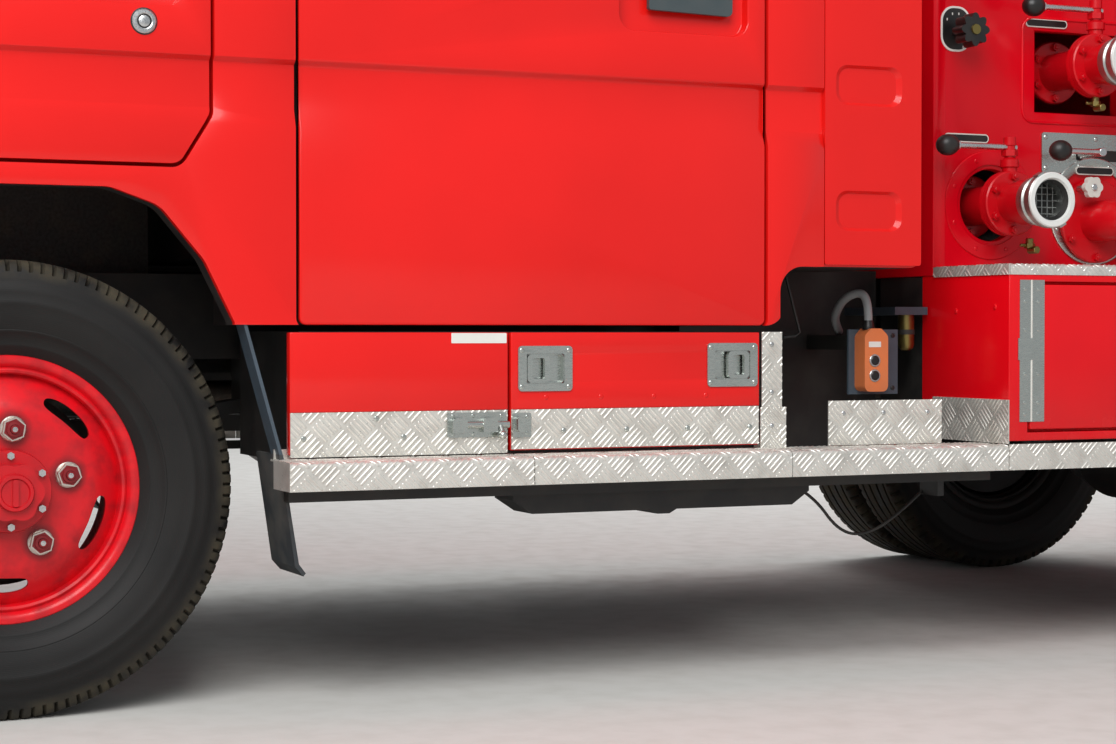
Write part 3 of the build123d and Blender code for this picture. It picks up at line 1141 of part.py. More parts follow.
SEAT_DEPTH = 480
SEAT_BACK_THICKNESS = 110
SEAT_HEIGHT = 330
SEAT_BACK_HEIGHT = 880
KNEE_ROOM = 549
seat_y = DASH_Y + KNEE_ROOM
seat_rest_y = seat_y + SEAT_DEPTH
seats = []
for x, half in ((-420, 240), (0, 150), (400, 230)):
    cushion = block(x - half, x + half, seat_y, seat_rest_y, FLOOR_FRONT_Z, FLOOR_FRONT_Z + SEAT_HEIGHT)
    back = block(x - half, x + half, seat_rest_y, seat_rest_y + SEAT_BACK_THICKNESS, FLOOR_FRONT_Z + 200,
                 FLOOR_FRONT_Z + SEAT_BACK_HEIGHT)
    seats.append(cushion + back)
BENCH_HALF = CAB_SIDE_X - 110
BENCH_BOX_HEIGHT = 250
BENCH_SEAT_HEIGHT = 430
BENCH_BACK_HEIGHT = 1000
bench_back_y = fy(CAB_REAR - CAB_WALL - 10)
bench_rest_y = bench_back_y - SEAT_BACK_THICKNESS
bench_y = bench_rest_y - SEAT_DEPTH
bench = block(-WELL_X + 10, WELL_X - 10, bench_y + 50, bench_back_y - 10, FLOOR_REAR_Z,
              FLOOR_REAR_Z + BENCH_BOX_HEIGHT + 10)
bench += block(-BENCH_HALF, BENCH_HALF, bench_y, bench_rest_y, FLOOR_REAR_Z + BENCH_BOX_HEIGHT,
               FLOOR_REAR_Z + BENCH_SEAT_HEIGHT)
bench += block(-BENCH_HALF, BENCH_HALF, bench_rest_y, bench_back_y, FLOOR_REAR_Z + BENCH_BOX_HEIGHT,
               FLOOR_REAR_Z + BENCH_BACK_HEIGHT)
seats.append(bench)
keep("seats", *seats)

# Mirrors on arms ahead of the front doors
mirror_y = NOSE_Y + 240
mirror_arm = rod_x(CAB_SIDE_X - 22, CAB_SIDE_X + 70, mirror_y, BELT_Z + 60, 9)
mirror_arm += rod_z(CAB_SIDE_X + 66, mirror_y, BELT_Z + 50, BELT_Z + 470, 9)
mirror_head = block(CAB_SIDE_X, CAB_SIDE_X + 88, mirror_y - 30, mirror_y + 20, BELT_Z + 130, BELT_Z + 430)
mirror_set = (mirror_arm + mirror_head) - cab_outer
keep("mirrors", *pair(mirror_set))

# Roof: light bar and siren horns
bar_y = fy(-520)
BAR_HALF = CAB_SIDE_X - 150
BAR_FOOT_X = BAR_HALF - 140
bar = block(-BAR_HALF, BAR_HALF, bar_y - 110, bar_y + 110, ROOF_Z + 50, ROOF_Z + 185)
for sign in (-1, 1):
    bar += block(sign * BAR_FOOT_X - 30, sign * BAR_FOOT_X + 30, bar_y - 60, bar_y + 60, ROOF_Z, ROOF_Z + 50)
keep("light_bar", bar)

# Deck rails, ladder and suction hoses on the body roof
DECK_RAIL_R = 17
CROSS_RAIL_R = 13
rail_x = BODY_SIDE_X - 60
rail_top = BODY_TOP_Z + 300
post_count = 4
post_pitch = (rear_end_y - rear_front_y - 160) / (post_count - 1)
DECK_RAIL_FRONT = rear_front_y + 60
DECK_RAIL_REAR = rear_end_y - 60
top_tube = rod_y(rail_x, DECK_RAIL_FRONT, DECK_RAIL_REAR, rail_top, DECK_RAIL_R)
low_tube = rod_y(rail_x, DECK_RAIL_FRONT, DECK_RAIL_REAR, BODY_TOP_Z + 150, DECK_RAIL_R - 1)
deck = [*pair(top_tube), *pair(low_tube)]
for index in range(post_count):
    y = rear_front_y + 80 + index * post_pitch
    post = rod_z(rail_x, y, BODY_TOP_Z, rail_top, DECK_RAIL_R - 2) - top_tube - low_tube
    deck.extend(pair(post))
for y in (rear_front_y + 80, rear_end_y - 80):
    deck.append(rod_x(-rail_x, rail_x, y, rail_top, CROSS_RAIL_R) - top_tube - other_side(top_tube))
keep("deck_rails", *deck)

LADDER_X = 330
LADDER_HALF = 190
LADDER_STILE = 25
LADDER_DEPTH = 70
LADDER_LOW_Z = rail_top + CROSS_RAIL_R + SEAT_GAP
ladder_front = rear_front_y - 500
ladder_rear = rear_end_y - 20
ladder = []
for low_x in (LADDER_X - LADDER_HALF - LADDER_STILE, LADDER_X + LADDER_HALF):
    ladder.append(block(low_x, low_x + LADDER_STILE, ladder_front, ladder_rear, LADDER_LOW_Z,
                        LADDER_LOW_Z + LADDER_DEPTH))
RUNG_PITCH = 300
RUNG_R = 14
rung_count = int((ladder_rear - ladder_front - 100) / RUNG_PITCH)
for index in range(rung_count + 1):
    y = ladder_front + 80 + index * RUNG_PITCH
    ladder.append(rod_x(LADDER_X - LADDER_HALF, LADDER_X + LADDER_HALF, y, LADDER_LOW_Z + LADDER_DEPTH / 2, RUNG_R))
keep("ladder", *ladder)

HOSE_R = 55
hoses = []
for x in (-560, -430):
    hose = rod_y(x, rear_front_y + 150, rear_end_y - 150, BODY_TOP_Z + HOSE_R, HOSE_R)
    hoses.append(hose)
keep("suction_hoses", *hoses)

# Rear lamps, fuel tank, mudflaps and side fittings
REAR_LAMP_X = BODY_SIDE_X - 150
REAR_LAMP_HALF = 90
lamp_blocks = []
for sign in (-1, 1):
    lamp_x = sign * REAR_LAMP_X
    lamp_blocks.append(block(lamp_x - REAR_LAMP_HALF, lamp_x + REAR_LAMP_HALF, rear_end_y, rear_end_y + 45,
                             HUB_Z + 250, HUB_Z + 350))
keep("rear_lamps", *lamp_blocks)

TANK_OUTER_X = CAB_SIDE_X - 30
TANK_LENGTH = 370
TANK_STRUT = 60
tank_y = by(-376)
tank = block(-TANK_OUTER_X, -RAIL_OUTER_X - 20, tank_y, tank_y + TANK_LENGTH, HUB_Z + 60, RAIL_TOP_Z - 20)
tank += block(-RAIL_OUTER_X - 24, -RAIL_OUTER_X, tank_y + TANK_STRUT, tank_y + 2 * TANK_STRUT, RAIL_BOTTOM_Z,
              RAIL_TOP_Z - 30)
keep("fuel_tank", tank)

flap_path = [(fy(372), SILL_Z), (fy(445), HUB_Z + 50), (fy(505), HUB_Z - 130)]
flap_face = outline([
    (flap_path[0][0], flap_path[0][1] - SEAT_GAP, 0),
    (flap_path[1][0], flap_path[1][1], 0),
    (flap_path[2][0], flap_path[2][1], 0),
    (flap_path[2][0] + 6, flap_path[2][1], 0),
    (flap_path[1][0] + 6, flap_path[1][1] + 1, 0),
    (flap_path[0][0] + 6, flap_path[0][1] - SEAT_GAP, 0),
])
FLAP_WIDTH = 124
REAR_FLAP_WIDTH = 415
flap_outer_x = LOCKER_FACE_X - LOCKER_GAP
flap = along_x(flap_face, flap_outer_x - FLAP_WIDTH, flap_outer_x)
rear_flap = block(PANEL_X - 5 - REAR_FLAP_WIDTH, PANEL_X - 5, ry(BOX_REAR_CLEAR) - 6, ry(BOX_REAR_CLEAR),
                  HUB_Z - 180, BODY_SKIRT_Z + 50)
keep("mudflaps", flap, other_side(flap), rear_flap, other_side(rear_flap))

# Pendant switch on its back plate, and the filter bowl, both on arms from the left rail
BACK_PLATE_X = CAB_SIDE_X - 156
BACK_PLATE = 6
SWITCH_DEPTH = 40
back_plate = block(BACK_PLATE_X, BACK_PLATE_X + BACK_PLATE, by(-202), by(-99), HUB_Z + 136, HUB_Z + 275)
plate_arm = block(RAIL_OUTER_X, BACK_PLATE_X, by(-171), by(-141), HUB_Z + 225, HUB_Z + 255)
switch = along_x(outline([
    (by(-215), HUB_Z + 142, 12),
    (by(-146), HUB_Z + 142, 12),
    (by(-146), HUB_Z + 275, 14),
    (by(-215), HUB_Z + 275, 14),
]), BACK_PLATE_X + BACK_PLATE, BACK_PLATE_X + BACK_PLATE + SWITCH_DEPTH)
FILTER_X = BACK_PLATE_X - 54
FILTER_Y = by(-38)
FILTER_R = 36
FILTER_TOP_Z = HUB_Z + 311
filter_bowl = rod_z(FILTER_X, FILTER_Y, HUB_Z + 214, FILTER_TOP_Z, FILTER_R)
filter_arm = block(RAIL_OUTER_X, FILTER_X + 20, FILTER_Y - 16, FILTER_Y + 16, FILTER_TOP_Z, FILTER_TOP_Z + 24)
keep("side_fittings", back_plate, plate_arm, switch, filter_bowl, filter_arm)

os.makedirs("parts", exist_ok=True)
for name, shape in nodes.items():
    export_step(shape, f"parts/{name}.step")
    print(name, round(shape.volume / 1e6, 2), "litres", len(shape.solids()), "solids")
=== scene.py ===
"""Looks of a crew-cab fire engine: finishes, treadplate, wheels, panel fittings, lamps, camera and light.

Lengths inside this script are millimetres, turned to metres where a mesh is made. Front faces -Y, the
vehicle's left side is +X, up is +Z. Side pieces are drawn on the left and mirrored to the right.
"""

import json
import logging
import math
from dataclasses import dataclass
from enum import Enum
from typing import Callable, Iterable, Sequence

import bmesh
import bpy
from mathutils import Matrix, Vector


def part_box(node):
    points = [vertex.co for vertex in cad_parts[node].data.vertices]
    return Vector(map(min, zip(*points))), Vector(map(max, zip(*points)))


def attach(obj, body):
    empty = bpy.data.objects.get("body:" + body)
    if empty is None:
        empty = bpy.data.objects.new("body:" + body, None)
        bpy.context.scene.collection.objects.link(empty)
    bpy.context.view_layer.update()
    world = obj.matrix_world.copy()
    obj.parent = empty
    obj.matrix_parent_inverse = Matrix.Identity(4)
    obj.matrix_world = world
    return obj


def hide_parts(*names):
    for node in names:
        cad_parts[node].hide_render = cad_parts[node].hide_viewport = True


LOG = logging.getLogger("fire_engine")
MM = 0.001
METRE = 1000
NUTS = 5

Point = tuple[float, float, float]
Corner = tuple[float, float, float]
Pair = tuple[float, float]
Outline = list[Pair]
Tree = bpy.types.NodeTree
Socket = bpy.types.NodeSocket


class Side(Enum):
    """Left or right side of the vehicle; the value is the sign of X."""

    LEFT = 1
    RIGHT = -1

    @property
    def word(self) -> str:
        """Name of the side as the frame writes it."""
        return self.name.lower()


class Axis(Enum):
    """Direction of a turned or extruded form."""

    X = 0
    Y = 1
    Z = 2


def linear(colour: str) -> tuple[float, float, float, float]:
    """Turn an sRGB hex colour to a linear one.

    Args:
        colour: six hex digits after a hash sign.

    Returns:
        Linear red, green, blue and an alpha of 1.
    """
    parts = [int(colour[i:i + 2], 16) / 255 for i in (1, 3, 5)]
    red, green, blue = (c / 12.92 if c <= 0.04045 else ((c + 0.055) / 1.055) ** 2.4 for c in parts)
    return red, green, blue, 1.0


def feed(tree: Tree, node: bpy.types.Node, inputs: dict) -> None:
    """Give inputs of a node, by name or number, their value or the socket that drives them."""
    for key, value in inputs.items():
        if isinstance(value, Socket):
            tree.links.new(value, node.inputs[key])
        else:
            node.inputs[key].default_value = value


def add(tree: Tree, kind: str, inputs: dict | None = None, **settings) -> bpy.types.Node:
    """Add a node with its settings, input values and links.

    Args:
        tree: node tree that takes the node.
        kind: node type name.
        inputs: value or output socket for each input, by its name or number.
        settings: properties of the node itself.

    Returns:
        The new node.
    """
    node = tree.nodes.new(kind)
    for name, value in settings.items():
        setattr(node, name, value)
    feed(tree, node, inputs or {})
    return node


def maths(tree: Tree, operation: str, *values: Socket | float) -> Socket:
    """Number worked out from sockets and plain numbers."""
    return add(tree, "ShaderNodeMath", dict(enumerate(values)), operation=operation).outputs[0]


def length_of(tree: Tree, vector: Socket) -> Socket:
    """Length of a vector."""
    return add(tree, "ShaderNodeVectorMath", {0: vector}, operation="LENGTH").outputs["Value"]


def remap(tree: Tree, value: Socket, to_low: float, to_high: float, low: float = 0.0,
          high: float = 1.0) -> Socket:
    """Value moved from the range low to high into another one, and held inside it."""
    return add(tree, "ShaderNodeMapRange", {
        "Value": value, "From Min": low, "From Max": high, "To Min": to_low, "To Max": to_high}).outputs[0]


def noise(tree: Tree, place: Socket, size_mm: float, detail: float) -> Socket:
    """Clouds about size_mm wide."""
    return add(tree, "ShaderNodeTexNoise", {
        "Vector": place, "Scale": 1 / (size_mm * MM), "Detail": detail}).outputs[0]


def relief(tree: Tree, height: Socket, strength: float, depth_mm: float,
           below: Socket | None = None) -> Socket:
    """Bumps of a height, laid over other bumps if there are any."""
    inputs = {"Height": height, "Strength": strength, "Distance": depth_mm * MM}
    if below is not None:
        inputs["Normal"] = below
    return add(tree, "ShaderNodeBump", inputs).outputs[0]


def speckle(tree: Tree, place: Socket, size_mm: float, low: float, high: float, detail: float = 3.0,
            stretch: Point = (1, 1, 1)) -> Socket:
    """A cloud mask whose patches are about size_mm wide, from 0 to 1 between the two noise levels."""
    scaled = add(tree, "ShaderNodeMapping", {"Vector": place, "Scale": stretch}).outputs[0]
    return remap(tree, noise(tree, scaled, size_mm, detail), 0.0, 1.0, low, high)


def blend_colour(tree: Tree, mask: Socket, first: Socket | str, second: Socket | str) -> Socket:
    """Mix two colours by a mask; each is a hex colour or a colour socket."""
    values = [linear(c) if isinstance(c, str) else c for c in (first, second)]
    return add(tree, "ShaderNodeMix", {0: mask, 6: values[0], 7: values[1]}, data_type="RGBA").outputs[2]


def low_dust(tree: Tree, place: Socket, top_mm: float, reach_mm: float, most: float) -> Socket:
    """Mask of road dust that thins out upwards, broken up by clouds."""
    height = add(tree, "ShaderNodeSeparateXYZ", {0: place}).outputs[2]
    fall = remap(tree, height, most, 0.0, (top_mm - reach_mm) * MM, top_mm * MM)
    return maths(tree, "MULTIPLY", fall, speckle(tree, place, 60, 0.32, 0.68))


@dataclass(frozen=True)
class Finish:
    """A surface finish; each kind below says what it is made of and what that gives the eye."""

    name: str
    colour: str
    roughness: float = 0.5

    def surface(self, tree: Tree, place: Socket) -> dict:
        """Inputs of the shader beyond colour and roughness; place is the point on the object in metres."""
        raise NotImplementedError

    def stained(self, tree: Tree, cloud: Socket, share: float, stain: str) -> Socket:
        """The finish's colour with a stain over a share of the clouds."""
        return blend_colour(tree, maths(tree, "MULTIPLY", cloud, share), self.colour, stain)

    def material(self) -> bpy.types.Material:
        """Make the material, or return it if it is there already.

        Returns:
            The Blender material of this finish.
        """
        known = bpy.data.materials.get(self.name)
        if known:
            return known
        made = bpy.data.materials.new(self.name)
        made.use_nodes = True
        made.diffuse_color = linear(self.colour)
        tree = made.node_tree
        tree.nodes.clear()
        shader = add(tree, "ShaderNodeBsdfPrincipled", {
            "Base Color": linear(self.colour), "Roughness": self.roughness})
        add(tree, "ShaderNodeOutputMaterial", {"Surface": shader.outputs[0]})
        feed(tree, shader, self.surface(tree, add(tree, "ShaderNodeTexCoord").outputs["Object"]))
        return made


@dataclass(frozen=True)
class Enamel(Finish):
    """Urethane enamel sprayed on pressed steel: wet-looking, with the long soft waves of sheet metal."""

    aged: str = "#DA1814"
    dust: str = "#9A7F70"
    dust_top_mm: float = 520
    dust_reach_mm: float = 300
    dust_most: float = 0.18
    peel_mm: float = 9
    wave_mm: float = 260
    coat: float = 0.15
    gloss: float = 0.3

    def surface(self, tree: Tree, place: Socket) -> dict:
        """Slow colour drift, low dust, orange peel drawn coarser than its real 2 mm, and panel waves."""
        drift = speckle(tree, place, 420, 0.3, 0.7)
        body = blend_colour(tree, drift, self.colour, self.aged)
        dust = low_dust(tree, place, self.dust_top_mm, self.dust_reach_mm, self.dust_most)
        waves = relief(tree, noise(tree, place, self.wave_mm, 1.0), 0.18, 12)
        return {
            "Base Color": blend_colour(tree, dust, body, self.dust),
            "Roughness": remap(tree, dust, self.roughness, self.roughness + 0.5),
            "Normal": relief(tree, noise(tree, place, self.peel_mm, 1.0), 0.05, 0.6, waves),
            "Coat Weight": self.coat,
            "Coat Roughness": 0.06,
            "Specular IOR Level": self.gloss,
        }


@dataclass(frozen=True)
class WheelEnamel(Finish):
    """Brush-touched wheel enamel: dulled, in darker clouds, darker towards the hub and darker round the nuts.
    """

    deep_tone: str = "#AE0F1A"
    halo: str = "#4E1418"
    axle_y: float = 0
    hub_z: float = 0
    nut_circle: float = 101.6
    nut_angle: float = 85.4

    def surface(self, tree: Tree, place: Socket) -> dict:
        """Darker clouds, darker towards the hub, a dark ring round each of the five nuts and a film of dust.
        """
        axes = add(tree, "ShaderNodeSeparateXYZ", {0: place}).outputs
        across = maths(tree, "SUBTRACT", axes[1], self.axle_y * MM)
        up = maths(tree, "SUBTRACT", axes[2], self.hub_z * MM)
        turn = maths(tree, "ARCTAN2", up, across)
        share = math.tau / NUTS
        shifted = maths(tree, "ADD", turn, share / 2 - math.radians(self.nut_angle))
        looped = maths(tree, "FLOORED_MODULO", shifted, share)
        angle = maths(tree, "SUBTRACT", looped, share / 2)
        square = maths(tree, "MULTIPLY", across, across)
        radius = maths(tree, "POWER", maths(tree, "MULTIPLY_ADD", up, up, square), 0.5)
        side = maths(tree, "MULTIPLY", radius, maths(tree, "SINE", angle))
        out = maths(tree, "MULTIPLY_ADD", radius, maths(tree, "COSINE", angle), -self.nut_circle * MM)
        reach = length_of(tree, add(tree, "ShaderNodeCombineXYZ", {0: side, 1: out}).outputs[0])
        grime = speckle(tree, place, 34, 0.42, 0.72)
        body = blend_colour(tree, grime, self.colour, self.deep_tone)
        # Darker towards the hub, and below a dark ring round each nut.
        body = blend_colour(tree, remap(tree, radius, 0.55, 0.0, 0.075, 0.15), body, self.deep_tone)
        return {
            "Base Color": blend_colour(tree, remap(tree, reach, 0.75, 0.0, 0.021, 0.034), body, self.halo),
            "Roughness": remap(tree, grime, self.roughness, self.roughness + 0.25),
            "Normal": relief(tree, noise(tree, place, 12, 3.0), 0.15, 0.8),
            "Specular IOR Level": 0.3,
            "Coat Weight": 0.25,
            "Coat Roughness": 0.2,
        }


@dataclass(frozen=True)
class TyreRubber(Finish):
    """Vulcanised rubber: nearly black, silky on the sidewall, with a brown dust band on the shoulder."""

    bloom: str = "#1A1816"
    dust: str = "#423C2F"
    axle_y: float = 0
    hub_z: float = 0
    tyre_r: float = 380
    ring_pitch: float = 3.0

    def surface(self, tree: Tree, place: Socket) -> dict:
        """Brown bloom in clouds, dust by radius and fine moulding rings that only touch the gloss."""
        middle = (0, -self.axle_y * MM, -self.hub_z * MM)
        centred = add(tree, "ShaderNodeVectorMath", {0: place, 1: middle}, operation="ADD").outputs[0]
        wheel = add(tree, "ShaderNodeVectorMath", {0: centred, 1: (0, 1, 1)}, operation="MULTIPLY").outputs[0]
        radius = length_of(tree, wheel)
        shoulder = remap(tree, radius, 0.0, 1.0, (self.tyre_r - 34) * MM, (self.tyre_r - 14) * MM)
        film = maths(tree, "MULTIPLY", shoulder, speckle(tree, place, 45, 0.35, 0.62, 5))
        body = blend_colour(tree, speckle(tree, place, 150, 0.38, 0.75), self.colour, self.bloom)
        ridges = maths(tree, "MULTIPLY", radius, math.tau / (self.ring_pitch * MM))
        lines = relief(tree, maths(tree, "SINE", ridges), 0.10, 0.3)
        return {
            "Base Color": blend_colour(tree, film, body, self.dust),
            "Roughness": remap(tree, film, self.roughness, 0.95),
            "Normal": relief(tree, noise(tree, place, 5, 4.0), 0.2, 0.8, lines),
            "Specular IOR Level": 0.35,
        }


@dataclass(frozen=True)
class Metal(Finish):
    """Bare metal: brushed, cast, plated or anodised, told apart by roughness, streaks and grime."""

    grime: str = "#5B554B"
    grime_share: float = 0.25
    grain_mm: float = 3
    grain_depth_mm: float = 0.05
    stretch: Point = (1, 1, 1)

    def surface(self, tree: Tree, place: Socket) -> dict:
        """Streaked roughness along the working direction and grime that dulls it in clouds."""
        cloud = speckle(tree, place, 55, 0.5, 0.8, 6)
        streak = speckle(tree, place, self.grain_mm, 0.3, 0.7, 2, self.stretch)
        return {
            "Metallic": 1.0,
            "Base Color": self.stained(tree, cloud, self.grime_share, self.grime),
            "Roughness": remap(tree, streak, max(0.05, self.roughness - 0.1), self.roughness + 0.12),
            "Normal": relief(tree, streak, 0.25, self.grain_depth_mm),
        }


@dataclass(frozen=True)
class TreadAlloy(Finish):
    """Hot-rolled aluminium treadplate: warm silver, dirt between the bars, scuffed bright on top."""

    dirt: str = "#7C7468"

    def surface(self, tree: Tree, place: Socket) -> dict:
        """Rolled silver with brown-grey dirt in clouds and a coarse scuffed grain."""
        scuff = speckle(tree, place, 6, 0.3, 0.75, 5)
        return {
            "Metallic": 0.6,
            "Base Color": self.stained(tree, speckle(tree, place, 38, 0.45, 0.8, 6), 0.35, self.dirt),
            "Roughness": remap(tree, scuff, self.roughness - 0.08, self.roughness + 0.2),
            "Normal": relief(tree, scuff, 0.3, 0.3),
        }


@dataclass(frozen=True)
class Moulded(Finish):
    """Plastic, rubber, vinyl or plain paint: one colour with a fine grain and a dusting in clouds."""

    dust: str = "#6A655D"
    dust_share: float = 0.2
    grain_mm: float = 2.5
    grain_depth_mm: float = 0.15

    def surface(self, tree: Tree, place: Socket) -> dict:
        """Dusty clouds over the colour and a moulded grain in the bump."""
        cloud = speckle(tree, place, 70, 0.4, 0.75, 5)
        return {
            "Base Color": self.stained(tree, cloud, self.dust_share, self.dust),
            "Roughness": remap(tree, cloud, self.roughness, min(1, self.roughness + 0.18)),
            "Normal": relief(tree, noise(tree, place, self.grain_mm, 3.0), 0.3, self.grain_depth_mm),
        }


@dataclass(frozen=True)
class Glazing(Finish):
    """Float glass or a clear moulded lens: see-through, tinted, with a thin film of dust."""

    clear: float = 1.0
    ior: float = 1.5

    def surface(self, tree: Tree, place: Socket) -> dict:
        """Clear glass whose dust film varies the gloss."""
        film = speckle(tree, place, 160, 0.3, 0.8)
        return {
            "Transmission Weight": self.clear,
            "IOR": self.ior,
            "Roughness": remap(tree, film, self.roughness, self.roughness + 0.05),
        }


def arc_points(start: Vector, corner: Vector, end: Vector, radius: float, steps: int) -> list[Vector]:
    """Points of a fillet arc at a corner; a corner too tight for the radius gets a smaller one."""
    before = (start - corner).normalized()
    after = (end - corner).normalized()
    angle = before.angle(after)
    if radius <= 0 or angle > math.pi - 1e-3:
        return [corner]
    cut = radius / math.tan(angle / 2)
    cut = min(cut, (start - corner).length * 0.49, (end - corner).length * 0.49)
    radius = cut * math.tan(angle / 2)
    centre = corner + (before + after).normalized() * (radius / math.sin(angle / 2))
    first = corner + before * cut - centre
    last = corner + after * cut - centre
    swing = first.angle(last)
    points = []
    for index in range(steps + 1):
        share = index / steps
        if swing < 1e-6:
            points.append(centre + first)
            continue
        weight_a = math.sin((1 - share) * swing) / math.sin(swing)
        weight_b = math.sin(share * swing) / math.sin(swing)
        points.append(centre + first * weight_a + last * weight_b)
    return points


def rounded(points: Sequence[Corner], steps: int = 4) -> Outline:
    """Closed outline from a table of (u, v, corner radius) with its corners turned into arcs.

    Args:
        points: corners in order.
        steps: number of chords in an arc.

    Returns:
        The outline's points.
    """
    made = []
    count = len(points)
    for index, (u, v, radius) in enumerate(points):
        here = Vector((u, v, 0))
        if radius <= 0:
            made.append((u, v))
            continue
        before = Vector((*points[index - 1][:2], 0))
        after = Vector((*points[(index + 1) % count][:2], 0))
        made.extend((p.x, p.y) for p in arc_points(before, here, after, radius, steps))
    return made


def pane(low: Sequence[float], high: Sequence[float], radii: Sequence[float], steps: int = 4) -> Outline:
    """Rectangle between two corners with a radius for each corner, from the low one round by the right."""
    corners = ((low[0], low[1]), (high[0], low[1]), (high[0], high[1]), (low[0], high[1]))
    return rounded([(u, v, radius) for (u, v), radius in zip(corners, radii)], steps)


def plate(width: float, height: float, corner: float, steps: int = 4) -> Outline:
    """Outline of a plate with rounded corners, about its middle."""
    return pane((-width / 2, -height / 2), (width / 2, height / 2), [corner] * 4, steps)


def lobed(count: int, radius: float, depth: float, steps: int) -> Outline:
    """Outline with a number of soft lobes, such as a star knob."""
    points = []
    for index in range(steps):
        angle = math.tau * index / steps
        wave = 0.5 + 0.5 * math.cos(count * angle)
        reach = radius - depth * (1 - wave ** 0.6)
        points.append((reach * math.cos(angle), reach * math.sin(angle)))
    return points


def polar(radius: float, angle: float) -> Pair:
    """Point at a distance and an angle from the middle."""
    return radius * math.cos(angle), radius * math.sin(angle)


def hexagon(radius: float, turn: float = 0.0) -> Outline:
    """Outline of a hexagon; radius is to its corners."""
    return [polar(radius, turn + math.tau * i / 6) for i in range(6)]


class Shape:
    """A mesh under way, in millimetres, that ends as one named piece."""

    def __init__(self) -> None:
        """Start empty, with the first finish in use."""
        self.mesh = bmesh.new()
        self.finish = 0

    def vert(self, point: Iterable[float]) -> bmesh.types.BMVert:
        """One corner from a point in millimetres."""
        return self.mesh.verts.new(Vector(point) * MM)

    def face(self, verts: Sequence[bmesh.types.BMVert]) -> None:
        """One face with the finish in use; a face that folds onto itself is left out."""
        if len(set(verts)) < 3:
            return
        unique = [v for i, v in enumerate(verts) if v is not verts[i - 1]]
        if len(unique) >= 3 and self.mesh.faces.get(unique) is None:
            self.mesh.faces.new(unique).material_index = self.finish

    def skin(self, rings: Sequence[Sequence[bmesh.types.BMVert]], looped: bool = False) -> None:
        """Faces from each ring of corners to the next, and from the last to the first if looped."""
        pairs = list(zip(rings, rings[1:]))
        if looped:
            pairs.append((rings[-1], rings[0]))
        for low, high in pairs:
            for index in range(len(low)):
                after = (index + 1) % len(low)
                self.face([low[index], low[after], high[after], high[index]])

    def split(self, spot: Point, normal: Point, trim: bool = False) -> None:
        """Cut the faces along a plane through a spot; trim takes away what lies beyond it."""
        geometry = self.mesh.verts[:] + self.mesh.edges[:] + self.mesh.faces[:]
        bmesh.ops.bisect_plane(self.mesh, geom=geometry, plane_co=[c * MM for c in spot], plane_no=normal,
                               clear_outer=trim)

    def soften(self, verts: Sequence[bmesh.types.BMVert], radius: float, steps: int = 2) -> None:
        """Round the sharp edges among some corners by a radius in millimetres."""
        if radius <= 0:
            return
        kept = set(verts)
        edges = {e for v in kept for e in v.link_edges if e.verts[0] in kept and e.verts[1] in kept}
        sharp = [e for e in edges if len(e.link_faces) == 2 and e.calc_face_angle(0) > math.radians(28)]
        bmesh.ops.bevel(self.mesh, geom=sharp, offset=radius * MM, segments=steps, profile=0.5,
                        affect="EDGES", clamp_overlap=True, material=-1)

    def box(self, low: Point, high: Point, radius: float = 0.0, steps: int = 2) -> None:
        """Block between two corners with softened edges."""
        self.prism(pane(low, high, (0, 0, 0, 0)), Axis.Z, low[2], high[2], radius=radius, steps=steps)

    def pad(self, size: Sequence[float], low: float, high: float, spot: Pair, radius: float = 0.0,
            taper: float = 1.0) -> None:
        """Plate of (width, height, corner radius) from low to high along X, about a spot (Y, Z)."""
        self.prism(plate(*size), Axis.X, low, high, at=(0, *spot), radius=radius, taper=taper)

    def prism(self, outline: Sequence[Pair], axis: Axis, low: float, high: float,
              at: Point = (0, 0, 0), radius: float = 0.0, steps: int = 2, taper: float = 1.0) -> None:
        """Extrude an outline along an axis.

        Args:
            outline: points (u, v); u, v are Y, Z for axis X, X, Z for axis Y and X, Y for axis Z.
            axis: direction of the extrusion.
            low: start along the axis.
            high: end along the axis.
            at: offset of the whole form.
            radius: softening of its edges.
            steps: chords of that softening.
            taper: size of the far end against the near one.
        """
        order = {Axis.X: (1, 2, 0), Axis.Y: (0, 2, 1), Axis.Z: (0, 1, 2)}[axis]

        def corner(u: float, v: float, w: float) -> bmesh.types.BMVert:
            """Corner of the form in the vehicle's own directions."""
            spot = [0.0, 0.0, 0.0]
            for index, value in zip(order, (u, v, w)):
                spot[index] = value + at[index]
            return self.vert(spot)

        near = [corner(u, v, low) for u, v in outline]
        far = [corner(u * taper, v * taper, high) for u, v in outline]
        self.face(list(reversed(near)))
        self.face(far)
        self.skin([near, far])
        self.soften(near + far, radius, steps)

    def lathe(self, profile: Sequence[Pair], centre: Point, axis: Axis, steps: int = 32,
              closed: bool = False) -> None:
        """Turn a profile of (radius, along) about an axis through a centre.

        Args:
            profile: points from one end of the form to the other.
            centre: point on the axis where along is 0.
            axis: the axis of turning.
            steps: number of facets around.
            closed: whether the profile's last point joins its first.
        """
        first, second = {Axis.X: (1, 2), Axis.Y: (2, 0), Axis.Z: (0, 1)}[axis]
        rings = []
        for radius, along in profile:
            ring = []
            for index in range(steps):
                angle = math.tau * index / steps
                spot = list(centre)
                spot[axis.value] += along
                spot[first] += radius * math.cos(angle)
                spot[second] += radius * math.sin(angle)
                ring.append(spot)
            if radius < 1e-6:
                ring = [self.vert(ring[0])] * steps
            else:
                ring = [self.vert(spot) for spot in ring]
            rings.append(ring)
        self.skin(rings, closed)

    def moved(self, before: set[bmesh.types.BMVert], matrix: Matrix) -> None:
        """Move the corners made since a set was taken, by a matrix in metres."""
        bmesh.ops.transform(self.mesh, matrix=matrix, verts=[v for v in self.mesh.verts if v not in before])

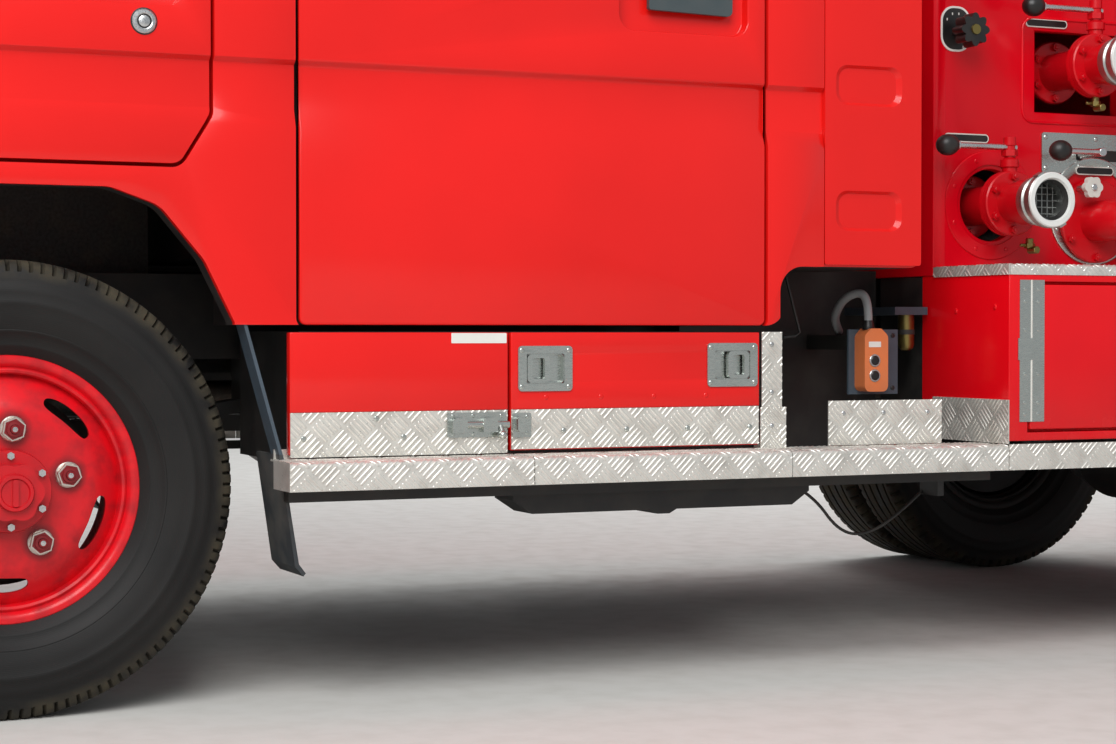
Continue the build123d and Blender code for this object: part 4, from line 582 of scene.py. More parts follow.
    def rod(self, start: Point, end: Point, radius: float, steps: int = 16, bevel: float = 0.0) -> None:
        """Round bar between two points with softened ends."""
        direction = Vector(end) - Vector(start)
        length = direction.length
        turn = direction.to_track_quat("Z", "Y").to_matrix()
        edge = min(bevel, radius * 0.6, length * 0.4)
        profile = [(0, 0), (radius - edge, 0), (radius, edge), (radius, length - edge),
                   (radius - edge, length), (0, length)]
        if edge <= 0:
            profile = [(0, 0), (radius, 0), (radius, length), (0, length)]
        before = set(self.mesh.verts)
        self.lathe(profile, (0, 0, 0), Axis.Z, steps)
        self.moved(before, Matrix.Translation(Vector(start) * MM) @ turn.to_4x4())

    def tube(self, path: Sequence[Iterable[float]], radius: float, steps: int = 12) -> None:
        """Sweep a circle along a path, with parallel transport.

        Args:
            path: points of the centre line.
            radius: radius of the tube.
            steps: facets around.
        """
        points = [Vector(p) for p in path]
        tangents = [(points[min(i + 1, len(points) - 1)] - points[max(i - 1, 0)]).normalized()
                    for i in range(len(points))]
        side = tangents[0].orthogonal().normalized()
        rings = []
        for point, tangent in zip(points, tangents):
            side = (side - tangent * side.dot(tangent)).normalized()
            other = tangent.cross(side)
            turns = [polar(1, math.tau * k / steps) for k in range(steps)]
            rings.append([self.vert(point + (side * a + other * b) * radius) for a, b in turns])
        self.skin(rings)
        self.face(list(reversed(rings[0])))
        self.face(rings[-1])

    def ball(self, centre: Point, radii: Point, steps: int = 20) -> None:
        """Ellipsoid about a centre."""
        before = set(self.mesh.verts)
        half = steps // 2
        profile = [(math.sin(math.pi * i / half), -math.cos(math.pi * i / half)) for i in range(half + 1)]
        self.lathe([(METRE * r, METRE * a) for r, a in profile], (0, 0, 0), Axis.Z, steps)
        stretch = Matrix.Diagonal((*[r * MM for r in radii], 1))
        self.moved(before, Matrix.Translation(Vector(centre) * MM) @ stretch)

    def turn(self, start: int, matrix: Matrix) -> None:
        """Move the corners made since a count by a matrix in millimetres."""
        scaled = Matrix.Scale(MM, 4) @ matrix @ Matrix.Scale(1 / MM, 4)
        self.mesh.verts.ensure_lookup_table()
        bmesh.ops.transform(self.mesh, matrix=scaled, verts=self.mesh.verts[start:])

    def cut(self, tool: "Shape") -> None:
        """Take another form out of this one; the other form is used up."""
        holders = []
        for shape in (self, tool):
            bmesh.ops.recalc_face_normals(shape.mesh, faces=shape.mesh.faces)
            data = bpy.data.meshes.new("cut")
            shape.mesh.to_mesh(data)
            holder = bpy.data.objects.new("cut", data)
            bpy.context.scene.collection.objects.link(holder)
            holders.append(holder)
        trim = holders[0].modifiers.new("cut", "BOOLEAN")
        trim.operation = "DIFFERENCE"
        trim.solver = "EXACT"
        trim.object = holders[1]
        seen = holders[0].evaluated_get(bpy.context.evaluated_depsgraph_get())
        result = bpy.data.meshes.new_from_object(seen)
        self.mesh.clear()
        self.mesh.from_mesh(result)
        tool.mesh.free()
        for holder in holders:
            data = holder.data
            bpy.data.objects.remove(holder)
            bpy.data.meshes.remove(data)
        bpy.data.meshes.remove(result)

    def join(self, other: "Shape") -> None:
        """Add another form to this one in the finish in use; the other form is used up."""
        for face in other.mesh.faces:
            face.material_index = self.finish
        data = bpy.data.meshes.new("join")
        other.mesh.to_mesh(data)
        other.mesh.free()
        self.mesh.from_mesh(data)
        bpy.data.meshes.remove(data)

    @property
    def count(self) -> int:
        """Number of corners so far."""
        return len(self.mesh.verts)

    def done(self, name: str, finishes: Sequence[Finish], body: str, side: Side = Side.LEFT,
             replaces: Sequence[str] = (), crease: float = 32.0) -> bpy.types.Object:
        """Close the mesh and place it on its body.

        Args:
            name: name of the piece.
            finishes: finishes by the number that the faces carry.
            body: body that the piece rides on.
            side: right mirrors the mesh across the middle plane.
            replaces: nodes that the piece stands for.
            crease: edges sharper than this many degrees stay sharp.

        Returns:
            The new object.
        """
        if side is Side.RIGHT:
            bmesh.ops.scale(self.mesh, vec=(-1, 1, 1), verts=self.mesh.verts)
        bmesh.ops.recalc_face_normals(self.mesh, faces=self.mesh.faces)
        data = bpy.data.meshes.new(name)
        self.mesh.to_mesh(data)
        self.mesh.free()
        for finish in finishes:
            data.materials.append(finish.material())
        data.polygons.foreach_set("use_smooth", [True] * len(data.polygons))
        data.set_sharp_from_angle(angle=math.radians(crease))
        piece = bpy.data.objects.new(name, data)
        bpy.context.scene.collection.objects.link(piece)
        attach(piece, body)
        if replaces:
            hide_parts(*replaces)
        LOG.info("%s: %d faces on %s", name, len(data.polygons), body)
        return piece


def softened(node: str, finish: Finish, body: str, radius: float = 2.0, tuck: float = 0.0,
             cutters: Sequence[Shape] = (), inner: Finish | None = None, inner_x: float = 0.0,
             inner_z: float = 0.0) -> bpy.types.Object:
    """Copy of a rigid node with its sharp edges rolled, which stands for the node.

    Args:
        node: name of the frame's node.
        finish: finish of the copy.
        body: body that carries it.
        radius: radius of the rolled edges in millimetres.
        tuck: how far faces on the body's side plane draw in, so that fittings on them stay inside the plane.
        cutters: forms taken out of the copy.
        inner: finish of what lies nearer the middle than inner_x and lower than inner_z.
        inner_x: half width of the inner part.
        inner_z: top of the inner part.

    Returns:
        The new object.
    """
    shape = Shape()
    shape.mesh.from_mesh(bpy.data.objects[node].data)
    bmesh.ops.remove_doubles(shape.mesh, verts=shape.mesh.verts, dist=0.02 * MM)
    bmesh.ops.dissolve_limit(shape.mesh, angle_limit=math.radians(0.6), verts=shape.mesh.verts,
                             edges=shape.mesh.edges)
    for vert in shape.mesh.verts:
        if tuck and abs(vert.co.x) > (PLAN.body_x - 0.1) * MM:
            vert.co.x -= math.copysign(tuck * MM, vert.co.x)
    for cutter in cutters:
        shape.cut(cutter)
    for face in shape.mesh.faces:
        face.material_index = 0
    shape.soften(list(shape.mesh.verts), radius)
    # Faces nearer the middle and lower than the limits take the inner finish, which both callers give as
    # near-black painted shade.
    if inner:
        for sign in (-1, 1):
            shape.split((sign * inner_x, 0, 0), (1, 0, 0))
        for face in shape.mesh.faces:
            middle = face.calc_center_median() / MM
            face.material_index = int(abs(middle.x) < inner_x and middle.z < inner_z)
    finishes = [finish, inner] if inner else [finish]
    return shape.done(f"{node}.finished", finishes, body, replaces=[node], crease=38)


def dressed(node: str, finish: Finish) -> None:
    """Give a node of the frame that stays in view its finish."""
    piece = bpy.data.objects[node]
    piece.data.materials.clear()
    piece.data.materials.append(finish.material())


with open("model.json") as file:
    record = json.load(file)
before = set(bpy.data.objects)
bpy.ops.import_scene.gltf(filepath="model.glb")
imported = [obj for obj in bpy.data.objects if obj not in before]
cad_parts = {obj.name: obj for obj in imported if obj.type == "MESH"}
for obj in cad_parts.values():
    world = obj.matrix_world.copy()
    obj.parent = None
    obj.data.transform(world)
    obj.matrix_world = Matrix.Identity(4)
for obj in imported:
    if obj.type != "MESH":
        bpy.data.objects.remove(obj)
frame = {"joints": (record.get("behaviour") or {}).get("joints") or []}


@dataclass(frozen=True)
class Layout:
    """Stations and levels of the vehicle, taken from the frame, in millimetres."""

    front_axle: float
    rear_axle: float
    hub_z: float
    cab_x: float
    body_x: float

    @classmethod
    def read(cls) -> "Layout":
        """Take the axles from the joints and the sides from the boxes of two nodes.

        Returns:
            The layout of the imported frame.
        """
        joints = {joint["name"]: joint for joint in frame["joints"]}
        front = joints["steer_left"]["pos_m"]
        rear = joints["spin_rear_left"]["pos_m"]
        return cls(front[1] / MM, rear[1] / MM, front[2] / MM,
                   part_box("locker_rear_left")[1].x / MM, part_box("box_door_left")[1].x / MM)

    def fy(self, distance: float) -> float:
        """Y of a point this far behind the front axle."""
        return self.front_axle + distance

    def ry(self, distance: float) -> float:
        """Y of a point this far behind the rear axle."""
        return self.rear_axle + distance

    @property
    def body_front(self) -> float:
        """Y of the front of the rear body."""
        return self.fy(2560)

    @property
    def body_rear(self) -> float:
        """Y of the back of the rear body."""
        return self.ry(1600)


PLAN = Layout.read()
FY = PLAN.fy
RY = PLAN.ry

CAB_RED = Enamel("cab enamel, sprayed and waxed", "#E61B17", 0.2)
BODY_RED = Enamel("body enamel, sprayed", "#E40614", 0.26, aged="#D40614", coat=0.12)
PANEL_RED = Enamel("pump panel enamel, sprayed", "#DC0218", 0.3, aged="#CC0218", coat=0.1, wave_mm=180,
                   gloss=0.22)
PIPE_RED = Enamel("pipe enamel, brushed on", "#D20A18", 0.32, aged="#B80814", coat=0.12, peel_mm=14,
                  wave_mm=60)
WHEEL_RED = WheelEnamel("wheel enamel, brushed", "#DA0F1C", 0.34, axle_y=PLAN.front_axle, hub_z=PLAN.hub_z)
DUAL_RED = WheelEnamel("rear wheel enamel, brushed", "#C8101A", 0.4, axle_y=PLAN.rear_axle, hub_z=PLAN.hub_z)
FRONT_RUBBER = TyreRubber("front tyre rubber, vulcanised", "#0F0E0D", 0.6, axle_y=PLAN.front_axle,
                          hub_z=PLAN.hub_z)
REAR_RUBBER = TyreRubber("rear tyre rubber, vulcanised", "#171615", 0.62, axle_y=PLAN.rear_axle,
                         hub_z=PLAN.hub_z)
TREAD = TreadAlloy("treadplate aluminium, rolled", "#E2DFD7", 0.34)
STAINLESS = Metal("stainless steel, pressed and brushed", "#BEC3BE", 0.28, grime_share=0.12, grain_mm=1.5,
                  stretch=(1, 0.12, 1))
BRIGHT = Metal("zinc-plated steel", "#C9CBCB", 0.3, grime_share=0.3)
BARE = Metal("bare worn steel", "#D8D2C8", 0.42, grime_share=0.2, grain_mm=5)
COUPLING_ALLOY = Metal("coupling aluminium, cast and anodised", "#B9BBB8", 0.4, grime_share=0.2)
MOUTH_ALLOY = Moulded("coupling mouth, satin-chromed", "#DEDEDA", 0.25, dust="#8E8A80", grain_mm=6,
                      grain_depth_mm=0.05)
SHUTTER_ALLOY = Metal("shutter aluminium, extruded", "#C3C6C8", 0.32, grime_share=0.08, stretch=(0.1, 0.1, 1))
CAST = Metal("grey iron, cast and oily", "#4A4A48", 0.6, grime_share=0.6, grain_mm=6, grain_depth_mm=0.5)
BLACK_PAINT = Moulded("chassis paint, brushed black", "#1D1C1B", 0.5, grain_mm=8, grain_depth_mm=0.4)
# Near-black painted shade for the inner wheel of each rear pair, also the black drum and back plate, with
# road grime in clouds.
INNER_WHEEL_SHADE_AND_DRUM = Moulded("inner wheel paint, black and road-grimed", "#141312", 0.6, dust="#3A3530",
                      dust_share=0.4)
BLACK_PLASTIC = Moulded("black plastic, moulded", "#161616", 0.34, dust_share=0.12)
GREY_PLASTIC = Moulded("grey conduit plastic, corrugated", "#8C8F90", 0.45)
SEAL = Moulded("seal rubber, extruded", "#1A1918", 0.6)
FLAP = Moulded("mudflap rubber, cut from sheet", "#34383B", 0.7, dust="#7C7469", dust_share=0.5)
SEAT = Moulded("seat vinyl, sewn", "#2E3033", 0.5, grain_mm=3, grain_depth_mm=0.3)
ORANGE = Moulded("switch housing, moulded orange", "#DD7A45", 0.42, dust="#8E7A68", dust_share=0.25)
LABEL = Moulded("blank label, printed film", "#E4E3DC", 0.4, dust_share=0.15)
WHITE_PAINT = Moulded("white paint, brushed", "#D9D7CF", 0.4, dust="#8B8578", dust_share=0.3)
BUMPER_PAINT = Moulded("bumper paint, sprayed white", "#E8E8E4", 0.28, dust_share=0.1)
HOSE = Moulded("suction hose rubber, wound", "#222325", 0.6)
BRASS = Metal("brass, tarnished olive", "#8D7F4C", 0.4, grime_share=0.5)
# Near-black painted shade: the cab's underside and arches and the insides of the side boxes take it where
# shade falls.
PAINTED_SHADE = Moulded("shadowed recess paint", "#120F0E", 0.7)
GREY_HANDLE = Moulded("handle plastic, moulded dark grey", "#3E484B", 0.42, dust_share=0.1)
STRAINER = Metal("strainer wire, woven steel", "#8E908E", 0.45, grime_share=0.5)
EXHAUST_STEEL = Metal("exhaust steel, heat-stained", "#57504A", 0.6, grime="#6B4630", grime_share=0.7,
                      grain_mm=8)
FLAP_STEEL = Moulded("flap strip, blue-grey paint on steel", "#46535E", 0.4, dust="#2A2E30",
                     dust_share=0.4)
LEAD = Moulded("cable sheath, extruded black", "#151412", 0.5)
GROUND = Moulded("ground concrete, floated", "#D5D3CE", 0.8, dust="#C2BFB8", dust_share=0.5, grain_mm=14,
                 grain_depth_mm=0.6)
WINDOW = Glazing("window glass, float", "#DCE6E4", 0.02)
LENS = Glazing("lamp lens, clear moulded", "#F2F4F4", 0.05, clear=0.9)
RED_LENS = Glazing("beacon lens, red moulded", "#D81418", 0.12, clear=0.55)
AMBER_LENS = Glazing("signal lens, amber moulded", "#F08A1C", 0.12, clear=0.55)


@dataclass(frozen=True)
class Treadplate:
    """Rolled sheet with squares of five raised bars, turned by a right angle from square to square."""

    pitch: float = 62
    bars: int = 5
    bar_pitch: float = 8.6
    bar_length: float = 37
    bar_width: float = 4.6
    bar_height: float = 1.1
    sheet: float = 2.2

    def bar(self, shape: Shape, middle: Pair, turn: float) -> None:
        """One raised bar with sloping sides and round ends, drawn flat as (u, v, height)."""
        corners = ((-1.0, -0.45), (-0.93, -1.0), (0.93, -1.0), (1.0, -0.45), (1.0, 0.45), (0.93, 1.0),
                   (-0.93, 1.0), (-1.0, 0.45))
        rings = []
        for inset, height in ((0.0, 0.0), (0.7, self.bar_height * 0.75), (1.5, self.bar_height)):
            half = self.bar_length / 2 - inset
            across = self.bar_width / 2 - inset
            ring = []
            for a, b in corners:
                u = a * half
                v = b * across
                ring.append(shape.vert((middle[0] + u * math.cos(turn) - v * math.sin(turn),
                                        middle[1] + u * math.sin(turn) + v * math.cos(turn), height)))
            rings.append(ring)
        shape.skin(rings)
        shape.face(rings[-1])

    def cover(self, shape: Shape, length: float, width: float, wrap: Callable[[float, float, float], Point],
              folds: Sequence[float] = (), start: Pair = (0, 0)) -> None:
        """Lay the bars over a sheet and fold them with it.

        Args:
            shape: form that takes the bars.
            length: length of the sheet, along u.
            width: unrolled width of the sheet, along v.
            wrap: place in space of a point (u, v, height).
            folds: values of v where the sheet bends.
            start: offset of the pattern on the sheet.
        """
        flat = Shape()
        half = self.pitch / 2
        for row in range(-1, int(width / half) + 3):
            for column in range(-1, int(length / half) + 3):
                if (row + column) % 2:
                    continue
                turn = math.radians(45 if row % 2 else -45)
                middle = (column * half - start[0], row * half - start[1])
                for index in range(self.bars):
                    shift = (index - (self.bars - 1) / 2) * self.bar_pitch
                    along, up = polar(shift, turn)
                    self.bar(flat, (middle[0] - up, middle[1] + along), turn)
        flat.split((0, 0, 0), (-1, 0, 0), trim=True)
        flat.split((length, 0, 0), (1, 0, 0), trim=True)
        flat.split((0, 0, 0), (0, -1, 0), trim=True)
        flat.split((0, width, 0), (0, 1, 0), trim=True)
        for fold in folds:
            flat.split((0, fold, 0), (0, 1, 0))
        for vert in flat.mesh.verts:
            u, v, height = (c / MM for c in vert.co)
            vert.co = Vector(wrap(u, v, height)) * MM
        shape.join(flat)

    def folded(self, shape: Shape, profile: Sequence[Pair], low_y: float, high_y: float,
               start: Pair = (0, 0)) -> None:
        """Sheet folded along an (X, Z) profile from one station to another, with its bars.

        The outer face lies to the left of the profile's direction.

        Args:
            shape: form that takes the sheet.
            profile: outer face of the sheet, as points.
            low_y: front end.
            high_y: rear end.
            start: offset of the pattern.
        """
        points = [Vector(p) for p in profile]
        lengths = [0.0]
        for before, after in zip(points, points[1:]):
            lengths.append(lengths[-1] + (after - before).length)
        ways = [(after - before).normalized() for before, after in zip(points, points[1:])]
        normals = [Vector((-way.y, way.x)) for way in ways]
        bends = [(a + b).normalized() for a, b in zip(normals, normals[1:])]
        corner_normals = [normals[0], *bends, normals[-1]]

        def wrap(u: float, v: float, height: float) -> Point:
            """Place on the folded sheet."""
            index = max(i for i in range(len(ways)) if i == 0 or v >= lengths[i] - 1e-6)
            run = lengths[index + 1] - lengths[index]
            share = (v - lengths[index]) / run
            spot = points[index] + ways[index] * (v - lengths[index])
            normal = (corner_normals[index] * (1 - share) + corner_normals[index + 1] * share).normalized()
            spot = spot + normal * height
            return spot.x, low_y + u, spot.y

        inner = [p - n * self.sheet for p, n in zip(points, corner_normals)]
        loop = [tuple(p) for p in points + inner[::-1]]
        shape.prism(loop, Axis.Y, low_y, high_y)
        self.cover(shape, high_y - low_y, lengths[-1], wrap, folds=lengths[1:-1], start=start)


@dataclass(frozen=True)
class Tyre:
    """Radial tyre with ribs and short notches across its shoulders, for one wheel position."""

    centre_x: float
    axle_y: float
    width: float
    columns: int = 600
    notch_every: int = 5
    notch_depth: float = 7

    def section(self) -> list[tuple[float, float, bool]]:
        """Half section as (radius, distance from the middle plane, takes the notch), from bead to crown.

        Returns:
            The points, for a tyre whose half width is stretched from 100.
        """
        bead = [(206, 54), (214, 60), (222, 67), (230, 74), (238, 79.5), (240, 80.9), (241.5, 80.9),
                (250, 85), (260, 89), (261, 90.2), (264, 91.2), (265, 90.6), (278, 95), (292, 98),
                (306, 99.6), (307, 100.0), (313, 100.0), (314, 99.5), (326, 99.4), (337, 98.6),
                (338, 97.8), (347, 96.6), (356, 94.6), (360, 93.4)]
        notched = [(364, 92), (371, 88.6), (376, 84), (379, 78)]
        crown = [(380, 70), (380, 57), (371, 55.5), (371, 50), (380, 48.5), (380, 23), (371, 21.5),
                 (371, 15), (380, 13.5), (380, 0)]
        scale = self.width / 200
        return ([(r, x * scale, False) for r, x in bead] + [(r, x * scale, True) for r, x in notched]
                + [(r, x * scale, False) for r, x in crown])

    def draw(self, shape: Shape, hub_z: float) -> None:
        """Add the tyre to a form."""
        half = self.section()
        points = [(r, -x, n) for r, x, n in half] + [(r, x, n) for r, x, n in reversed(half[:-1])]
        rings = []
        for index in range(self.columns):
            angle = math.tau * index / self.columns
            pressed = index % self.notch_every == 0
            ring = []
            for r, x, notched in points:
                reach = r
                out = x
                if notched and pressed:
                    reach = r - self.notch_depth * 0.7
                    out = x - math.copysign(self.notch_depth, x)
                ring.append(shape.vert((self.centre_x + out, self.axle_y + reach * math.cos(angle),
                                        hub_z + reach * math.sin(angle))))
            rings.append(ring)
        shape.skin(rings, looped=True)


@dataclass(frozen=True)
class FrontWheel:
    """Single front wheel: two-piece rim, dished disc with vents, hub with a free-wheel lock."""

    centre_x: float = 700
    seat_x: float = 785
    nut_circle: float = 101.6
    nut_angle: float = 85.4
    vent_circle: float = 158
    vent_angle: float = 49.4
    vents: int = 5
    vent_swing: float = 17.5
    vent_half: float = 13
    vent_points: int = 40
    hub_bolts: int = 6
    hub_circle: float = 58.5

    def rim_profile(self) -> Outline:
        """Section of the rim as (radius, X from the middle plane), with the side ring on the outside."""
        outer = [(192, 46), (192.4, 58), (194.5, 61.5), (198.5, 63), (201.5, 61.5), (203.2, 59.5),
                 (205, 62.5), (209.5, 67.5), (215.5, 69.8), (221.5, 69), (225.3, 65.6), (226, 61),
                 (224, 58), (214, 57), (203.4, 52)]
        inner = [(203.4, -62), (212, -64), (224, -64.5), (226, -67), (222, -70), (192, -70), (188, -66)]
        return [(r, x + self.centre_x) for r, x in outer + inner] + [(187, self.centre_x + 40)]

    def disc_profile(self) -> Outline:
        """Section of the disc, from the bore out to the rim and back."""
        dish = [(62, 0), (122, 0), (131, 0.4), (139, 2.6), (148, 7.5), (160, 15.5), (172, 24), (181, 31),
                (188, 37), (193.6, 40.5)]
        face = [(r, self.seat_x - depth) for r, depth in dish]
        back = [(r - 2, x - 7) for r, x in reversed(face)]
        return face + back

    def vent(self, angle: float) -> Outline:
        """Bean-shaped outline of one vent about the hub, its middle at an angle in degrees."""
        bean = []
        for index in range(self.vent_points):
            circle = polar(1, math.tau * index / self.vent_points)
            swing, out = (math.copysign(abs(c) ** 0.75, c) for c in circle)
            bean.append(polar(self.vent_circle + out * self.vent_half,
                              math.radians(angle + swing * self.vent_swing)))
        return bean

    def nut(self, shape: Shape, y: float, z: float, base: float, turn: float) -> None:
        """Flange nut on its stud, bare where the tool has worn it."""
        shape.finish = 1
        shape.lathe([(8, 0), (21.5, 0), (21.5, 1.8), (19.5, 3.6), (8, 3.6)], (base, y, z), Axis.X, 28)
        shape.prism(hexagon(20.2, turn), Axis.X, base + 3, base + 15, at=(0, y, z), radius=0.8)
        shape.finish = 0
        shape.prism(hexagon(17.6, turn), Axis.X, base + 12, base + 17, at=(0, y, z), radius=1.2)
        shape.lathe([(13.4, 16.4), (12.4, 19.6), (8.0, 20.4), (7.6, 18)], (base, y, z), Axis.X, 24)
        shape.lathe([(7.4, 17), (7.4, 23.2), (6.6, 24), (4.4, 24.2), (4.4, 23)], (base, y, z), Axis.X, 16)
        shape.finish = 2
        shape.lathe([(4.4, 23), (4.4, 24.2), (0, 24.6)], (base, y, z), Axis.X, 12)

    def nuts(self, shape: Shape, axle_y: float, base: float, first: float, step: float) -> None:
        """Ring of flange nuts, the first turned by an angle and each further one by a step more."""
        for index in range(NUTS):
            across, up = polar(self.nut_circle, math.radians(self.nut_angle - index * 360 / NUTS))
            self.nut(shape, axle_y + across, PLAN.hub_z + up, base, first + index * step)

    def draw(self, side: Side) -> None:
        """Make the wheel and its tyre on one side."""
        axle_y = PLAN.front_axle
        hub_z = PLAN.hub_z
        centre = (0, axle_y, hub_z)
        disc = Shape()
        disc.lathe(self.disc_profile(), centre, Axis.X, 120, closed=True)
        cutter = Shape()
        seat = self.seat_x
        for index in range(self.vents):
            outline = self.vent(self.vent_angle - index * 360 / self.vents)
            cutter.prism(outline, Axis.X, seat - 80, seat + 20, at=centre)
        disc.cut(cutter)
        disc.lathe(self.rim_profile(), centre, Axis.X, 120, closed=True)
        self.nuts(disc, axle_y, seat, 0.35, 0.5)
        disc.finish = 0
        disc.lathe([(0, seat - 60), (66, seat - 60), (66, seat - 4), (68, seat), (68, seat + 20),
                    (66.5, seat + 24), (0, seat + 24)], centre, Axis.X, 64)
        disc.prism(lobed(6, 49, 6.5, 72), Axis.X, seat + 24, seat + 60, at=centre, radius=3.5)
        disc.lathe([(31, seat + 59), (31, seat + 66), (29, seat + 70), (24, seat + 70), (22, seat + 67),
                    (0, seat + 67)], centre, Axis.X, 40)
        disc.pad((9, 44, 3), seat + 66, seat + 72, centre[1:], 1)
        disc.finish = 2
        for index in range(self.hub_bolts):
            angle = math.tau * (index + 0.5) / self.hub_bolts
            across, up = polar(self.hub_circle, angle)
            disc.prism(hexagon(6.4, angle), Axis.X, seat + 24, seat + 30, at=(0, axle_y + across, hub_z + up),
                       radius=0.5)
        disc.finish = 3
        disc.lathe([(60, -62), (165, -62), (165, -6), (120, 8), (76, 10), (72, 76)],
                   (self.centre_x, axle_y, hub_z), Axis.X, 64)
        body = f"wheel_front_{side.word}"
        disc.done(body, [WHEEL_RED, BARE, BRIGHT, CAST], body, side,
                  replaces=[f"rim_front_{side.word}"], crease=30)
        rubber = Shape()
        Tyre(self.centre_x, axle_y, 200).draw(rubber, hub_z)
        rubber.done(f"tread_front_{side.word}", [FRONT_RUBBER], body, side,
                    replaces=[f"tyre_front_{side.word}"], crease=40)


@dataclass(frozen=True)
class RearWheels:
    """Twin rear wheels on one hub, dished towards each other; the inner wheel of each pair is near-black
    painted shade.
    """

    middle_x: float = 717.5
    spacing: float = 224
    tyre_width: float = 198
    vent_circle: float = 160

    def draw(self, side: Side) -> None:
        """Make the pair on one side."""
        axle_y = PLAN.rear_axle
        hub_z = PLAN.hub_z
        centre = (0, axle_y, hub_z)
        hub = (self.middle_x, axle_y, hub_z)
        front = FrontWheel(centre_x=0)
        dish = [(88, 4), (126, 5), (136, 8), (150, 22), (168, 48), (180, 60), (192, 66), (192, 74),
                (178, 69), (160, 54), (142, 29), (128, 13), (88, 12)]
        rim = [(r, self.spacing / 2 + x) for r, x in front.rim_profile()]
        shape = Shape()
        cutter = Shape()
        for way in (1, -1):
            for profile in (dish, rim):
                turned = [(r, self.middle_x + way * x) for r, x in profile]
                shape.lathe(turned, centre, Axis.X, 90, closed=True)
        for index in range(front.vents):
            across, up = polar(self.vent_circle, math.radians(front.vent_angle - index * 360 / front.vents))
            spot = (axle_y + across, hub_z + up)
            cutter.rod((self.middle_x - 90, *spot), (self.middle_x + 90, *spot), 17, 20)
        shape.cut(cutter)
        # The inner wheel of the pair takes slot 3, near-black painted shade; the outer one keeps the wheel
        # enamel.
        for face in shape.mesh.faces:
            face.material_index = 3 if face.calc_center_median().x < self.middle_x * MM else 0
        # Drum and back plate in the same near-black, partly their own black paint and partly painted shade
        # over the inner rim.
        shape.finish = 3
        shape.lathe([(0, -150), (178, -150), (178, -60), (92, -50), (92, -4)], hub, Axis.X, 60)
        shape.finish = 0
        shape.lathe([(92, -4), (92, 30), (86, 70), (60, 82), (52, 84), (0, 84)], hub, Axis.X, 60)
        front.nuts(shape, axle_y, self.middle_x + 12, 0.3, 1)
        name = f"wheels_rear_{side.word}"
        shape.done(name, [DUAL_RED, BARE, BRIGHT, INNER_WHEEL_SHADE_AND_DRUM], name, side,
                   replaces=[f"rims_rear_{side.word}"], crease=30)
        rubber = Shape()
        for way in (1, -1):
            Tyre(self.middle_x + way * self.spacing / 2, axle_y, self.tyre_width, 400).draw(rubber, hub_z)
        rubber.done(f"treads_rear_{side.word}", [REAR_RUBBER], name, side,
                    replaces=[f"tyres_rear_{side.word}"], crease=40)


def dome(shape: Shape, x: float, y: float, z: float, radius: float, height: float, steps: int = 16) -> None:
    """Round head of a rivet or screw that faces outwards on the left side."""
    profile = [(radius, 0), (radius, height * 0.35), (radius * 0.72, height * 0.85), (0, height)]
    shape.lathe(profile, (x, y, z), Axis.X, steps)


